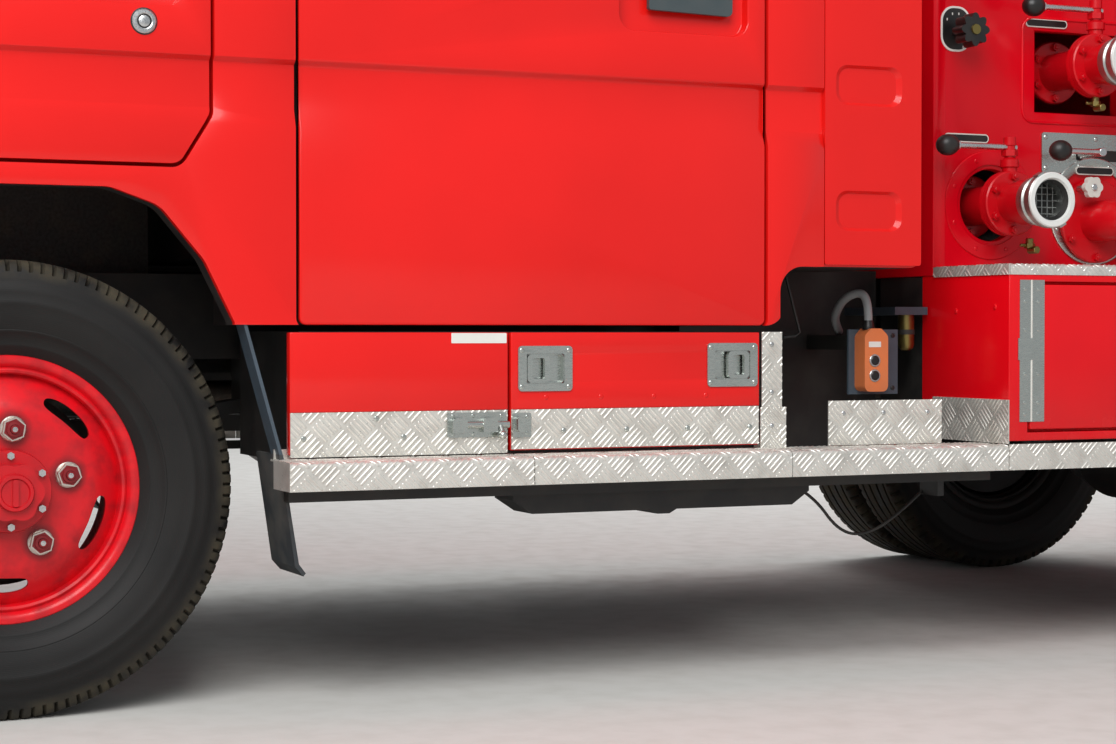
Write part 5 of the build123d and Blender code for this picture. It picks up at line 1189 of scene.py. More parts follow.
@dataclass(frozen=True)
class LockerRow:
    """Under-cab lockers: doors, treadplate kick plates, flush latches, blank label and barrel bolt."""

    front: float = 434
    split: float = 868
    rear: float = 1376
    front_edge: float = 462
    low_z: float = 425
    kick_z: float = 503
    facing_x: float = 849.4
    latch_width: float = 106
    latch_height: float = 81
    cup: Pair = (74, 53)
    front_latch: Pair = (937, 575.5)
    rear_latch: Pair = (1318, 580)

    def window(self, spot: Pair) -> Shape:
        """Block for the cup of a latch, about a spot (Y, Z), through the skin of both sides."""
        shape = Shape()
        for sign in (-1, 1):
            ends = sorted((sign * (PLAN.cab_x - 12), sign * (PLAN.cab_x + 6)))
            shape.pad((*self.cup, 4), *ends, spot)
        return shape

    def ring(self, shape: Shape, spot: Pair, outer: Pair, hole: Pair, depth: Pair) -> None:
        """Rolled plate with a window through it, about a spot (Y, Z) on the door."""
        frame_ring = Shape()
        frame_ring.pad((*outer, 7), *depth, spot, 1.1)
        opening = Shape()
        opening.pad((*hole, 4), depth[0] - 3, depth[1] + 3, spot)
        frame_ring.cut(opening)
        shape.join(frame_ring)

    def latch(self, shape: Shape, middle_y: float, middle_z: float, way: int) -> None:
        """Flush latch: rolled frame round a cup, with an open ring handle at one end and four screws."""
        x = PLAN.cab_x
        spot = (middle_y, middle_z)
        shape.finish = 1
        self.ring(shape, spot, (self.latch_width, self.latch_height), self.cup, (x - 0.6, x + 2.6))
        self.ring(shape, spot, (73.6, 52.6), (71, 50), (x - 11.6, x + 1))
        shape.pad((73, 52, 4), x - 11.8, x - 11, spot)
        self.ring(shape, (middle_y + way * 13, middle_z), (44, 50), (24, 37), (x - 6, x + 2.2))
        for side in (-1, 1):
            for level in (-1, 1):
                dome(shape, x + 2.4, middle_y + side * (self.latch_width / 2 - 7),
                     middle_z + level * (self.latch_height / 2 - 8), 4.4, 2.2)

    def bolt(self, shape: Shape) -> None:
        """Barrel bolt on the front door: base plate, barrel, bar and knob."""
        x = PLAN.cab_x + 0.4
        shape.finish = 1
        shape.pad((113, 44, 5), x, x + 2.4, (FY(805), 477), 0.8)
        for low, high in ((754, 782), (812, 840)):
            barrel = pane((FY(low), 464), (FY(high), 490), (0, 0, 9, 9))
            shape.prism(barrel, Axis.X, x + 2, x + 15, radius=2.5)
        shape.rod((x + 8, FY(756), 477), (x + 8, FY(864), 477), 6.2, 20, 1.2)
        shape.rod((x + 8, FY(846), 477), (x + 20, FY(846), 462), 5, 16, 2)
        shape.ball((x + 21, FY(846), 459), (8, 8, 8), 16)
        for y in (759, 797, 851):
            for z in (461, 493):
                dome(shape, x + 2.2, FY(y), z, 3.4, 1.8)

    def keeper(self, shape: Shape) -> None:
        """Keeper of the bolt on the rear door."""
        x = PLAN.cab_x + 0.4
        shape.finish = 1
        shape.pad((36, 44, 4), x, x + 2.4, (FY(891), 475), 0.8)
        shape.pad((14, 26, 5), x + 2, x + 17, (FY(884), 477), 2.5)
        for z in (461, 490):
            dome(shape, x + 2.2, FY(901), z, 3.4, 1.8)

    def draw(self, side: Side) -> None:
        """Make the row on one side."""
        for name, low, high in (("front", self.front, self.split - 3), ("rear", self.split + 3, self.rear)):
            body = f"locker_{name}_{side.word}"
            cutters = []
            if name == "front":
                edge = Shape()
                edge.box((-1000, FY(low) - 40, 400), (1000, FY(self.front_edge), 660))
                cutters.append(edge)
                low = self.front_edge
            else:
                for station, z in (self.front_latch, self.rear_latch):
                    cutters.append(self.window((FY(station), z)))
            softened(body, CAB_RED, body, 2.5, cutters=cutters)
            trim = Shape()
            foot_z = self.low_z + (1 if name == "front" else 7)
            Treadplate(sheet=2.4).folded(trim, [(self.facing_x, self.kick_z - 0.5), (self.facing_x, foot_z)],
                                         FY(low) + 1, FY(high) - 1, start=(low % 31, 6))
            trim.finish = 1
            if name == "front":
                for y, z in ((486, 458), (618, 491), (668, 458)):
                    dome(trim, self.facing_x + 0.6, FY(y), z, 5, 2.6)
                self.bolt(trim)
                trim.finish = 3
                trim.pad((105, 18, 1.5), PLAN.cab_x - 0.5, PLAN.cab_x + 0.7, (FY(809.5), 630), 0.3)
            else:
                for y in (974, 1100, 1225, 1356):
                    dome(trim, self.facing_x + 0.6, FY(y), 464, 5, 2.6)
                trim.finish = 4
                for y in (939, 1048, 1155, 1263):
                    dome(trim, PLAN.cab_x - 0.3, FY(y), 524, 4.6, 2)
                self.keeper(trim)
                for (station, z), way in ((self.front_latch, -1), (self.rear_latch, 1)):
                    self.latch(trim, FY(station), z, way)
            trim.done(f"{body}.trim", [TREAD, STAINLESS, PAINTED_SHADE, LABEL, CAB_RED], body, side)


@dataclass(frozen=True)
class Steps:
    """Treadplate side steps, kick trims, box lids and the rear step, with the brackets that carry them."""

    top_z: float = 424
    lip_z: float = 374
    edge_x: float = 938.8
    fold: float = 9
    joints: tuple[float, ...] = (434, 878, 1396, 1878)
    lid_z: float = 774
    lid_front: float = 1878
    lid_rear: float = 2560
    strip_x: float = 682
    sheet: float = 2.2
    rear_x: float = 918
    rear_z: float = 530
    rear_fold: float = 76

    def fold_profile(self, inner_x: float, top_z: float, low_z: float) -> Outline:
        """Outer face of a plate that turns down over a rolled edge, as (X, Z)."""
        bend = [polar(self.fold, math.radians(90 - index * 22.5)) for index in range(5)]
        corner = [(self.edge_x - self.fold + out, top_z - self.fold + up) for out, up in bend]
        return [(inner_x, top_z), *corner, (self.edge_x, low_z)]

    def upright(self, shape: Shape, low_z: float, high_z: float) -> None:
        """Treadplate strip across the front of the side box, between two heights."""
        front = FY(self.lid_front)

        def wrap(u: float, v: float, height: float) -> Point:
            """Place on the strip, which faces forwards."""
            return self.strip_x + u, front - self.sheet - height, low_z + v

        shape.box((self.strip_x, front - self.sheet, low_z), (self.edge_x, front, high_z), 0.5)
        Treadplate().cover(shape, self.edge_x - self.strip_x, high_z - low_z, wrap, start=(7, 12))

    def draw(self, side: Side) -> None:
        """Make the steps of one side."""
        shape = Shape()
        plates = Treadplate()
        for index, (low, high) in enumerate(zip(self.joints, self.joints[1:])):
            plates.folded(shape, self.fold_profile(PLAN.cab_x - 24, self.top_z - 1.2, self.lip_z),
                          FY(low) + 0.8, FY(high) - 0.8, start=(index * 19, 0))
        plates.folded(shape, [(self.edge_x, self.top_z), (self.edge_x, self.lip_z)],
                      FY(self.joints[-1]) + 0.8, RY(-480))
        plates.folded(shape, self.fold_profile(680, self.lid_z - 1.2, self.lid_z - 22),
                      FY(self.lid_front) + 1.5, FY(self.lid_rear), start=(11, 5))
        plates.folded(shape, [(849.4, 510), (849.4, 425)], FY(1527), FY(1783), start=(4, 9))
        self.upright(shape, self.lid_z - 22, self.lid_z - 2)
        self.upright(shape, 425, 510)
        plates.folded(shape, [(849.6, 641), (849.6, 419)], FY(1382), FY(1425), start=(3, 4))
        plates.folded(shape, [(849.8, 500), (849.8, 419)], FY(1379), FY(1434), start=(3, 4))
        shape.box((846, FY(434), self.lip_z), (938.4, FY(434) + 2.4, self.top_z - 3), 0.6)
        shape.box((824, FY(440), self.top_z - 4), (829, FY(1420), self.top_z + 16), 0.6)
        shape.finish = 3
        tray = [(877, 362), (877, 340), (915, 315), (1150, 315), (1165, 307), (1190, 307), (1205, 315),
                (1450, 315), (1487, 340), (1487, 362)]
        shape.prism([(FY(y), z) for y, z in tray], Axis.X, 760, 845, radius=3)
        shape.box((852, FY(450), 352), (880, FY(1876), 372), 2)
        shape.finish = 1
        for y in (564, 928, 1336):
            shape.box((470, FY(y) - 20, self.lip_z), (844, FY(y) + 20, 414), 2)
            shape.box((846, FY(y) - 20, self.lip_z + 4), (932, FY(y) + 20, self.lip_z + 8), 1)
        shape.finish = 2
        for z in (465, 528, 618):
            dome(shape, 850.0, FY(1403), z, 4.6, 2.4)
        for y in (1560, 1650, 1750):
            dome(shape, 849.8, FY(y), 486, 4.6, 2.4)
        finishes = [TREAD, BLACK_PAINT, BRIGHT, BLACK_PAINT]
        shape.done(f"side_step_{side.word}", finishes, "chassis", side,
                   replaces=["treadplate_steps"])

    def rear(self) -> None:
        """Rear step with its two arms."""
        shape = Shape()
        low_y = PLAN.body_rear
        high_y = RY(1680)

        def wrap(u: float, v: float, height: float) -> Point:
            """Place on the step's top and rear face."""
            top = self.rear_z - 1.2
            if v <= self.rear_fold:
                return -self.rear_x + u, low_y + v, top + height
            return -self.rear_x + u, low_y + (self.rear_fold + 2) + height, top - (v - self.rear_fold)

        shape.box((-self.rear_x, low_y, 470), (self.rear_x, high_y - 2, 528.6), 3)
        Treadplate().cover(shape, 2 * self.rear_x, 132, wrap, folds=(self.rear_fold,))
        shape.finish = 1
        for sign in (-1, 1):
            shape.box((sign * 345 - 30, RY(1280), 500), (sign * 345 + 30, low_y, 590), 3)
        shape.done("rear_step", [TREAD, BLACK_PAINT], "chassis", replaces=["treadplate_steps"])


@dataclass(frozen=True)
class CabSide:
    """Cab body with its doors, flap handles, key cylinders, window rubbers and the bead round the arch."""

    belt_z: float = 1440
    roof_z: float = 2220
    lean: float = 40

    def leaning(self, shape: Shape, start: int) -> None:
        """Lean the corners made since a count inwards with the cab side above the belt."""
        shape.mesh.verts.ensure_lookup_table()
        for vert in shape.mesh.verts[start:]:
            above = vert.co.z / MM - self.belt_z
            if above > 0:
                vert.co.x -= above * self.lean / (self.roof_z - self.belt_z) * MM

    def rubber(self, shape: Shape, corners: Sequence[Corner]) -> None:
        """Window rubber: a rounded strip that follows an outline of (Y, Z, radius) on the left side."""
        path = rounded(corners, steps=6)
        centre = Vector((sum(p[0] for p in path) / len(path), sum(p[1] for p in path) / len(path)))
        outer = [Vector(p) - centre for p in path]
        start = shape.count
        rings = []
        for shift, depth in ((-9, -9), (-9, 1.5), (-3, 4), (5, 4), (9, 0.5), (9, -9)):
            spots = [centre + (point + point.normalized() * shift) for point in outer]
            rings.append([shape.vert((PLAN.cab_x + depth, spot.x, spot.y)) for spot in spots])
        shape.skin(rings)
        self.leaning(shape, start)

    def handle(self, shape: Shape, low: float, high: float, low_z: float) -> None:
        """Dark flap handle in its dished recess, with the hinge shelf above it."""
        x = PLAN.cab_x
        shape.finish = 1
        flap = [(FY(low), low_z + 4, 4), (FY(high), low_z, 10), (FY(high), low_z + 66, 10),
                (FY(low), low_z + 66, 10)]
        shape.prism(rounded(flap), Axis.X, x - 14, x - 4, radius=2.5)
        shape.box((x - 22, FY(low) + 12, low_z + 44), (x - 12, FY(high) - 12, low_z + 66), 2)

    def key(self, shape: Shape, y: float, z: float) -> None:
        """Key cylinder: bright rolled ring round a slotted plug, in a dark rubber."""
        x = PLAN.cab_x
        shape.finish = 2
        spot = (x, y, z)
        shape.lathe([(22.5, -2), (22.5, 0.8), (21, 1.2), (18, 1.2), (18, -2)], spot, Axis.X, 40, closed=True)
        shape.finish = 3
        ring = [(20.4, 0), (20.4, 2.6), (18.5, 4.4), (14, 4.8), (12.2, 3.8), (12.2, 0)]
        shape.lathe(ring, spot, Axis.X, 40)
        shape.finish = 2
        shape.lathe([(12.2, 1), (12.2, 2.6), (0, 2.6)], spot, Axis.X)
        shape.finish = 3
        shape.lathe([(9.5, 2.4), (9.5, 3.6), (8.5, 4.2), (0, 4.2)], spot, Axis.X)

    def draw(self, side: Side) -> None:
        """Dress the doors and windows of one side."""
        windows = {
            "front": [(-630, 1455, 40), (264, 1455, 40), (264, 2050, 50), (-528, 2050, 60)],
            "rear": [(542, 1455, 40), (1326, 1455, 40), (1326, 2050, 50), (542, 2050, 50)],
        }
        handles = {"front": (117, 262, 1222), "rear": (1147, 1320, 1226)}
        for name, corners in windows.items():
            body = f"door_{name}_{side.word}"
            softened(body, CAB_RED, body, 3)
            dressed(f"door_glass_{name}_{side.word}", WINDOW)
            trim = Shape()
            self.rubber(trim, [(FY(y), z, r) for y, z, r in corners])
            self.handle(trim, *handles[name])
            if name == "front":
                self.key(trim, FY(213), 1153.5)
            trim.done(f"{body}.trim", [SEAL, GREY_HANDLE, BLACK_PLASTIC, BRIGHT], body, side)

    def shell(self) -> None:
        """Cab shell with its arches and underside in near-black painted shade, the riveted-on rear quarters
        and the fixed glass.
        """
        cutters = []
        foot = rounded([(FY(1421), 600, 0), (FY(1421), 764.5, 58), (FY(1520), 764.5, 0),
                        (FY(1520), 600, 0)], steps=10)
        for sign in (-1, 1):
            corner = Shape()
            corner.prism(foot, Axis.X, *sorted((sign * 600, sign * 900)))
            pocket = Shape()
            ends = sorted((sign * 841, sign * 870))
            pocket.box((ends[0], FY(1516), 700), (ends[1], FY(1745), 1437))
            cutters += [corner, pocket]
        # Faces near the middle and below the floor take the near-black painted shade.
        softened("cab_shell", CAB_RED, "chassis", 3, cutters=cutters, inner=PAINTED_SHADE, inner_x=835,
                 inner_z=900)
        dressed("cab_glass", WINDOW)
        for side in Side:
            self.quarter(side)

    def quarter(self, side: Side) -> None:
        """Flat panel behind the rear door, with two long dished recesses."""
        shape = Shape()
        sheet = pane((FY(1518), 769), (FY(1734), 1436), (4, 6, 3, 3))
        shape.prism(sheet, Axis.X, PLAN.cab_x - 8.5, PLAN.cab_x + 0.2, radius=1.6)
        for z in (872, 1111):
            dish = Shape()
            dish.pad((128, 66, 22, 8), PLAN.cab_x - 6.5, PLAN.cab_x + 2, (FY(1616), z), taper=1.2)
            shape.cut(dish)
        shape.done(f"rear_quarter_{side.word}", [CAB_RED], "chassis", side)


@dataclass(frozen=True)
class CabFront:
    """Nose of the cab: grille, lamps, bumper and mirrors."""

    nose_y: float = -1040
    lamp_x: float = 660
    lamp_z: float = 783

    def draw(self) -> None:
        """Make the nose pieces."""
        softened("grille", BLACK_PLASTIC, "chassis", 1.5)
        softened("front_bumper", BUMPER_PAINT, "chassis", 3)
        y = FY(self.nose_y)
        lamps = Shape()
        bowl = [(0, -2), (40, -6), (70, -20), (84, -34), (87, -34), (87, 0), (0, 0)]
        rim = [(88, -30), (88, -38), (84, -42), (78, -40), (78, -34), (84, -30)]
        lens = [(0, -48), (40, -46), (70, -41), (79, -36), (79, -33), (70, -37), (40, -42), (0, -44)]
        for sign in (-1, 1):
            centre = (sign * self.lamp_x, y + 40, self.lamp_z)
            lamps.finish = 0
            lamps.lathe(bowl, centre, Axis.Y, 48)
            lamps.finish = 1
            lamps.lathe(rim, centre, Axis.Y, 48, closed=True)
            lamps.finish = 2
            lamps.lathe(lens, centre, Axis.Y, 48)
        lamps.done("headlamp_units", [BRIGHT, STAINLESS, LENS], "chassis",
                   replaces=["headlamps"])
        softened("mirrors", BLACK_PLASTIC, "chassis", 4)


@dataclass(frozen=True)
class PumpPanel:
    """Crimson pump panel: outlets with couplings, suction elbow, levers, dial, labels and plates."""

    face_x: float = 680
    low: Pair = (2016, 902)
    low_reach: float = 830
    high: Pair = (2230, 1192)
    high_reach: float = 810
    suction: Pair = (2275, 874)
    elbow_x: float = 702.44
    elbow_r: float = 110
    elbow_end: Pair = (811.64, 63.64)
    elbow_turn: float = 45
    pipe_r: float = 40
    flange_r: float = 66
    flange_x: float = 732
    bolts: int = 6
    studs_round: int = 8
    knob: Point = (21.5, 25, 21.5)

    def flange(self, shape: Shape, x: float, width: float, y: float, z: float, radius: float) -> None:
        """Pair of flanges with their joint and bolts."""
        half = width / 2
        rim = [(self.pipe_r, half), (radius - 2.5, half), (radius, half - 2.5), (radius, 1.2),
               (radius - 3, 0.8)]
        profile = [(r, -a) for r, a in rim] + rim[::-1]
        shape.lathe(profile, (x + half, y, z), Axis.X, 56)
        for index in range(self.bolts):
            angle = math.tau * (index + 0.5) / self.bolts
            across, up = polar(radius - 12, angle)
            spot = (y + across, z + up)
            head = hexagon(8.6, angle)
            shape.prism(head, Axis.X, x + width, x + width + 8, at=(0, *spot), radius=0.8)
            shape.rod((x + width + 8, *spot), (x + width + 11, *spot), 4.6, 12, 0.8)
            shape.prism(head, Axis.X, x - 7, x, at=(0, *spot), radius=0.8)

    def pipes(self, side: Side) -> None:
        """Outlet pipes and the suction elbow."""
        shape = Shape()
        radius = self.pipe_r
        for (station, z), reach in ((self.low, self.low_reach), (self.high, self.high_reach)):
            y = FY(station)
            wall = [(radius - 8, 560), (radius, 560), (radius, reach), (radius - 8, reach)]
            shape.lathe(wall, (0, y, z), Axis.X, 48, closed=True)
            self.flange(shape, 595, 14, y, z, self.flange_r)
            self.flange(shape, self.flange_x, 28, y, z, self.flange_r)
            collar = [(radius, 790), (radius + 5, 794), (radius + 5, reach), (radius, reach)]
            shape.lathe(collar, (0, y, z), Axis.X, 48)
        y = FY(self.suction[0])
        z = self.suction[1]
        path = [(560, y, z), (640, y, z)]
        for index in range(13):
            back, out = polar(self.elbow_r, math.radians(index * self.elbow_turn / 12))
            path.append((self.elbow_x + out, y + self.elbow_r - back, z))
        path.append((self.elbow_end[0], y + self.elbow_end[1], z))
        shape.tube(path, 43, 40)
        self.flange(shape, 680, 14, y, z, 88)
        shape.done(f"outlets_{side.word}", [PIPE_RED], "chassis", side, replaces=["outlet_pipes"])

    def mouth(self, shape: Shape, centre: Point) -> None:
        """Coupling along X: ring with lugs, bright lip, seal and a coarse strainer set back in its mouth."""
        shape.finish = 0
        ring = [(37, 0), (46, 0), (48, 4), (48, 16), (50.5, 19), (50.5, 24), (47, 27), (47, 36), (53, 39),
                (55.5, 42), (55.5, 55), (54, 56.5), (44, 56.5), (36.5, 50), (36.5, 12)]
        shape.lathe(ring, centre, Axis.X, 64, closed=True)
        start = shape.count
        for index in range(2):
            shape.box((centre[0] + 41, -8, 52), (centre[0] + 57, 8, 58.5), 2.5)
            shape.turn(start, Matrix.Rotation(math.pi * index + 0.5, 4, "X"))
            shape.turn(start, Matrix.Translation((0, centre[1], centre[2])))
            start = shape.count
        shape.finish = 3
        lip = [(54.5, 54), (54.5, 58), (52.5, 60), (43.5, 60), (41.5, 57), (38.5, 52)]
        shape.lathe(lip, centre, Axis.X, 64)
        shape.finish = 1
        shape.lathe([(36.4, 46), (40.5, 55.5), (39, 56), (34, 46.4)], centre, Axis.X, 64, closed=True)
        shape.lathe([(36.4, 13), (0, 13)], centre, Axis.X, 32)
        shape.finish = 2
        for index in range(-2, 3):
            across = index * 13
            half = math.sqrt(36.6 ** 2 - across ** 2)
            depth, y, z = centre[0] + 23, centre[1], centre[2]
            shape.rod((depth, y + across, z - half), (depth, y + across, z + half), 1.3, 8)
            shape.rod((depth, y - half, z + across), (depth, y + half, z + across), 1.3, 8)

    def couplings(self, side: Side) -> None:
        """Couplings on the outlets, straight out, and on the suction elbow, turned half rearwards."""
        shape = Shape()
        self.mouth(shape, (self.low_reach, FY(self.low[0]), self.low[1]))
        self.mouth(shape, (self.high_reach, FY(self.high[0]), self.high[1]))
        start = shape.count
        self.mouth(shape, (0, 0, 0))
        end = (self.elbow_end[0], FY(self.suction[0]) + self.elbow_end[1], self.suction[1])
        shape.turn(start, Matrix.Translation(end) @ Matrix.Rotation(math.radians(self.elbow_turn), 4, "Z"))
        shape.done(f"coupling_rings_{side.word}", [COUPLING_ALLOY, SEAL, STRAINER, MOUTH_ALLOY], "chassis",
                   side, replaces=["couplings"])

    def lever(self, shape: Shape, x: float, neck_y: float, foot_z: float, ball_y: float) -> None:
        """Valve neck with its gland nut, the lever and its egg-shaped knob."""
        shape.finish = 1
        neck = [(0, -10), (15, -10), (15, 6), (19, 8), (19, 22), (14, 25), (11, 27), (11, 50), (13, 52),
                (13, 68), (0, 70)]
        shape.lathe(neck, (x, neck_y, foot_z), Axis.Z)
        shape.prism(hexagon(17), Axis.Z, foot_z + 30, foot_z + 42, at=(x, neck_y, 0), radius=1)
        stem_z = foot_z + 48
        shape.finish = 2
        shape.rod((x, neck_y + 16, stem_z), (x, ball_y, stem_z), 6, 20, 1)
        shape.finish = 0
        shape.ball((x, ball_y - 4, stem_z), self.knob, 28)
        shape.finish = 2
        shape.lathe([(9.5, 18), (9.5, 26), (6, 28)], (x, ball_y - 4, stem_z), Axis.Y, 24)

    def gear(self, side: Side) -> None:
        """Levers, dial knob, handwheel and drain cocks."""
        shape = Shape()
        neck_x = self.flange_x + 14
        self.lever(shape, neck_x, FY(self.low[0]), self.low[1] + self.flange_r, FY(1870))
        self.lever(shape, neck_x, FY(self.high[0]), self.high[1] + self.flange_r, FY(2078))
        shape.finish = 2
        shape.rod((self.face_x + 4, FY(2240), 1013), (761, FY(2240), 1013), 9, 20, 1)
        shape.rod((755, FY(2244), 1013), (755, FY(2140), 1013), 6, 20, 1)
        shape.finish = 0
        shape.ball((755, FY(2136), 1013), self.knob, 28)
        y = FY(1930)
        shape.prism(lobed(8, 34, 9, 96), Axis.X, 716, 750, at=(0, y, 1250), radius=3)
        shape.lathe([(0, 684), (12, 684), (12, 716), (24, 718), (24, 720)], (0, y, 1250), Axis.X, 32)
        shape.finish = 4
        shape.lathe([(11, 749.5), (10, 753.5), (0, 754)], (0, y, 1250), Axis.X, 32)
        shape.finish = 3
        y = FY(2229)
        shape.prism(lobed(6, 23, 4, 72), Axis.X, 733, 745, at=(0, y, 941), radius=3)
        shape.finish = 2
        shape.rod((self.face_x + 14, y, 941), (748, y, 941), 7, 20, 1)
        for station, z in ((self.low[0] + 50, 804), (self.high[0], 1100)):
            spot = FY(station)
            shape.finish = 4
            shape.rod((neck_x, spot, z + 28), (neck_x, spot, z + 8), 8, 20, 1)
            shape.prism(hexagon(11), Axis.Z, z + 8, z + 18, at=(neck_x, spot, 0), radius=0.8)
            shape.rod((neck_x, spot, z + 4), (neck_x + 26, spot, z + 4), 7.5, 20, 1)
            shape.rod((neck_x - 2, spot - 22, z + 14), (neck_x - 2, spot + 4, z + 14), 3.4, 12, 1)
        finishes = [BLACK_PLASTIC, PIPE_RED, BRIGHT, WHITE_PAINT, BRASS]
        shape.done(f"valve_gear_{side.word}", finishes, "chassis", side,
                   replaces=["valve_controls"])

    def plates(self, side: Side) -> None:
        """Dial plate, blank label plates, the slotted stainless plate and its ring."""
        x = self.face_x
        shape = Shape()
        for station, z, width in ((1956, 1038, 108), (2154, 1283, 105), (2276, 980, 98)):
            base = x + 4 if station > 2200 else x
            spot = (FY(station), z)
            shape.finish = 0
            shape.pad((width, 18, 8.9, 8), base, base + 2.4, spot, 0.6)
            shape.finish = 1
            shape.pad((width - 5, 13, 6.4, 8), base + 1, base + 2.7, spot)
        y = FY(1928)
        shape.finish = 2
        shape.pad((72, 92, 30, 10), x, x + 3, (y, 1259), 0.8)
        shape.finish = 1
        shape.pad((64, 84, 27, 10), x + 1, x + 3.2, (y, 1259))
        shape.finish = 2
        for index in range(7):
            up, across = polar(38, math.radians(-50 + index * 32))
            shape.pad((2.4, 5, 0.6), x + 3, x + 3.7, (y + across * 0.74, 1253 + up))
        shape.finish = 1
        shape.pad((174, 23, 5), x + 0.6, x + 1.6, (FY(2316.5), 1012))
        steel = Shape()
        steel.prism(pane((FY(2142), 973), (FY(2420), 1057), [6] * 4), Axis.X, x, x + 4, radius=0.8)
        slot = Shape()
        slot.prism(pane((FY(2229), 1000), (FY(2404), 1024), [6] * 4), Axis.X, x + 1, x + 12)
        steel.cut(slot)
        steel.lathe([(92, x), (92, x + 4), (94, x + 5), (111, x + 5), (113, x + 3.6), (113, x)],
                    (0, FY(2275), 895), Axis.X, 80, closed=True)
        for station, z in ((2152, 1047), (2152, 983), (2280, 1047), (2408, 1047), (2408, 983)):
            dome(steel, x + 3.8, FY(station), z, 5, 2.6)
        self.studs(steel, x + 4.6, (FY(2275), 895), 102, 3.6, 2)
        finishes = [WHITE_PAINT, BLACK_PLASTIC, LABEL]
        shape.done(f"panel_labels_{side.word}", finishes, "chassis", side,
                   replaces=["panel_plates"])
        steel.done(f"steel_plates_{side.word}", [STAINLESS], "chassis", side,
                   replaces=["panel_plates"])

    def studs(self, shape: Shape, x: float, middle: Pair, circle: float, radius: float,
              height: float) -> None:
        """Circle of round screw heads about a middle (Y, Z)."""
        for index in range(self.studs_round):
            across, up = polar(circle, math.tau * (index + 0.5) / self.studs_round)
            dome(shape, x, middle[0] + across, middle[1] + up, radius, height)

    def bay(self) -> None:
        """Pump bay walls, with the bead round the upper port and the collar round the lower one."""
        softened("pump_bay", PANEL_RED, "chassis", 2)
        for side in Side:
            shape = Shape()
            outer = pane((FY(2095), 1077), (FY(2369), 1293), [26] * 4, 8)
            shape.tube([(self.face_x, u, v) for u, v in outer] + [(self.face_x, *outer[0])], 3.2, 8)
            y = FY(self.low[0])
            shape.lathe([(82, -1), (82, 2), (83.5, 3), (110.5, 3), (112, 1.5), (112, -1)],
                        (self.face_x, y, self.low[1]), Axis.X, 80, closed=True)
            self.studs(shape, self.face_x + 2.8, (y, self.low[1]), 97, 4.6, 2.2)
            shape.done(f"port_bead_{side.word}", [PANEL_RED], "chassis", side)

    def draw(self) -> None:
        """Make the panels of both sides."""
        self.bay()
        for side in Side:
            self.pipes(side)
            self.couplings(side)
            self.gear(side)
            self.plates(side)
        dressed("pump_body", CAST)


@dataclass(frozen=True)
class SideBox:
    """Side box below the pump panel: red door on a piano hinge with its catch plate."""

    front: float = 1878
    door_front: float = 1928
    leaf_low: float = 467
    leaf_high: float = 742

    def draw(self, side: Side) -> None:
        """Make the box of one side."""
        door = f"box_door_{side.word}"
        softened(door, BODY_RED, door, 2.5, tuck=2.4)
        x = PLAN.body_x
        low = self.leaf_low
        high = self.leaf_high
        pin_y = FY(self.door_front + 2)
        hinge = Shape()
        hinge.box((x - 4, FY(self.front + 24), low), (x - 1.2, FY(self.door_front + 1), high), 0.6)
        hinge.box((x - 2, FY(self.front + 20), 587), (x - 0.2, FY(self.door_front + 6), 629), 0.5)
        hinge.finish = 1
        hinge.rod((x - 3.3, pin_y, low), (x - 3.3, pin_y, high), 3.1, bevel=0.6)
        hinge.finish = 0
        leaf = Shape()
        leaf.box((x - 4, FY(self.door_front + 3), low), (x - 1.2, FY(self.door_front + 32), high), 0.6)
        for z in (482, 504, 560, 645, 700, 724):
            dome(hinge, x - 1.4, FY(self.front + 37), z, 3.8, 1.2)
            dome(leaf, x - 1.4, FY(self.door_front + 18), z, 3.8, 1.2)
        hinge.done(f"box_hinge_{side.word}", [STAINLESS, WHITE_PAINT], "chassis", side)
        leaf.done(f"box_leaf_{side.word}", [STAINLESS], door, side)
        rivets = Shape()
        for across, z in ((760, 683), (891.5, 690)):
            rivets.lathe([(5.5, 0), (5.5, -1), (4, -2.4), (0, -2.8)], (across, FY(self.front), z), Axis.Y, 16)
        rivets.done(f"box_rivets_{side.word}", [BODY_RED], "chassis", side)

    def shells(self) -> None:
        """Shells of both boxes, with near-black painted shade on the inside."""
        # The insides of the boxes take the near-black painted shade.
        softened("side_boxes", BODY_RED, "chassis", 2, tuck=2.4, inner=PAINTED_SHADE, inner_x=640,
                 inner_z=900)


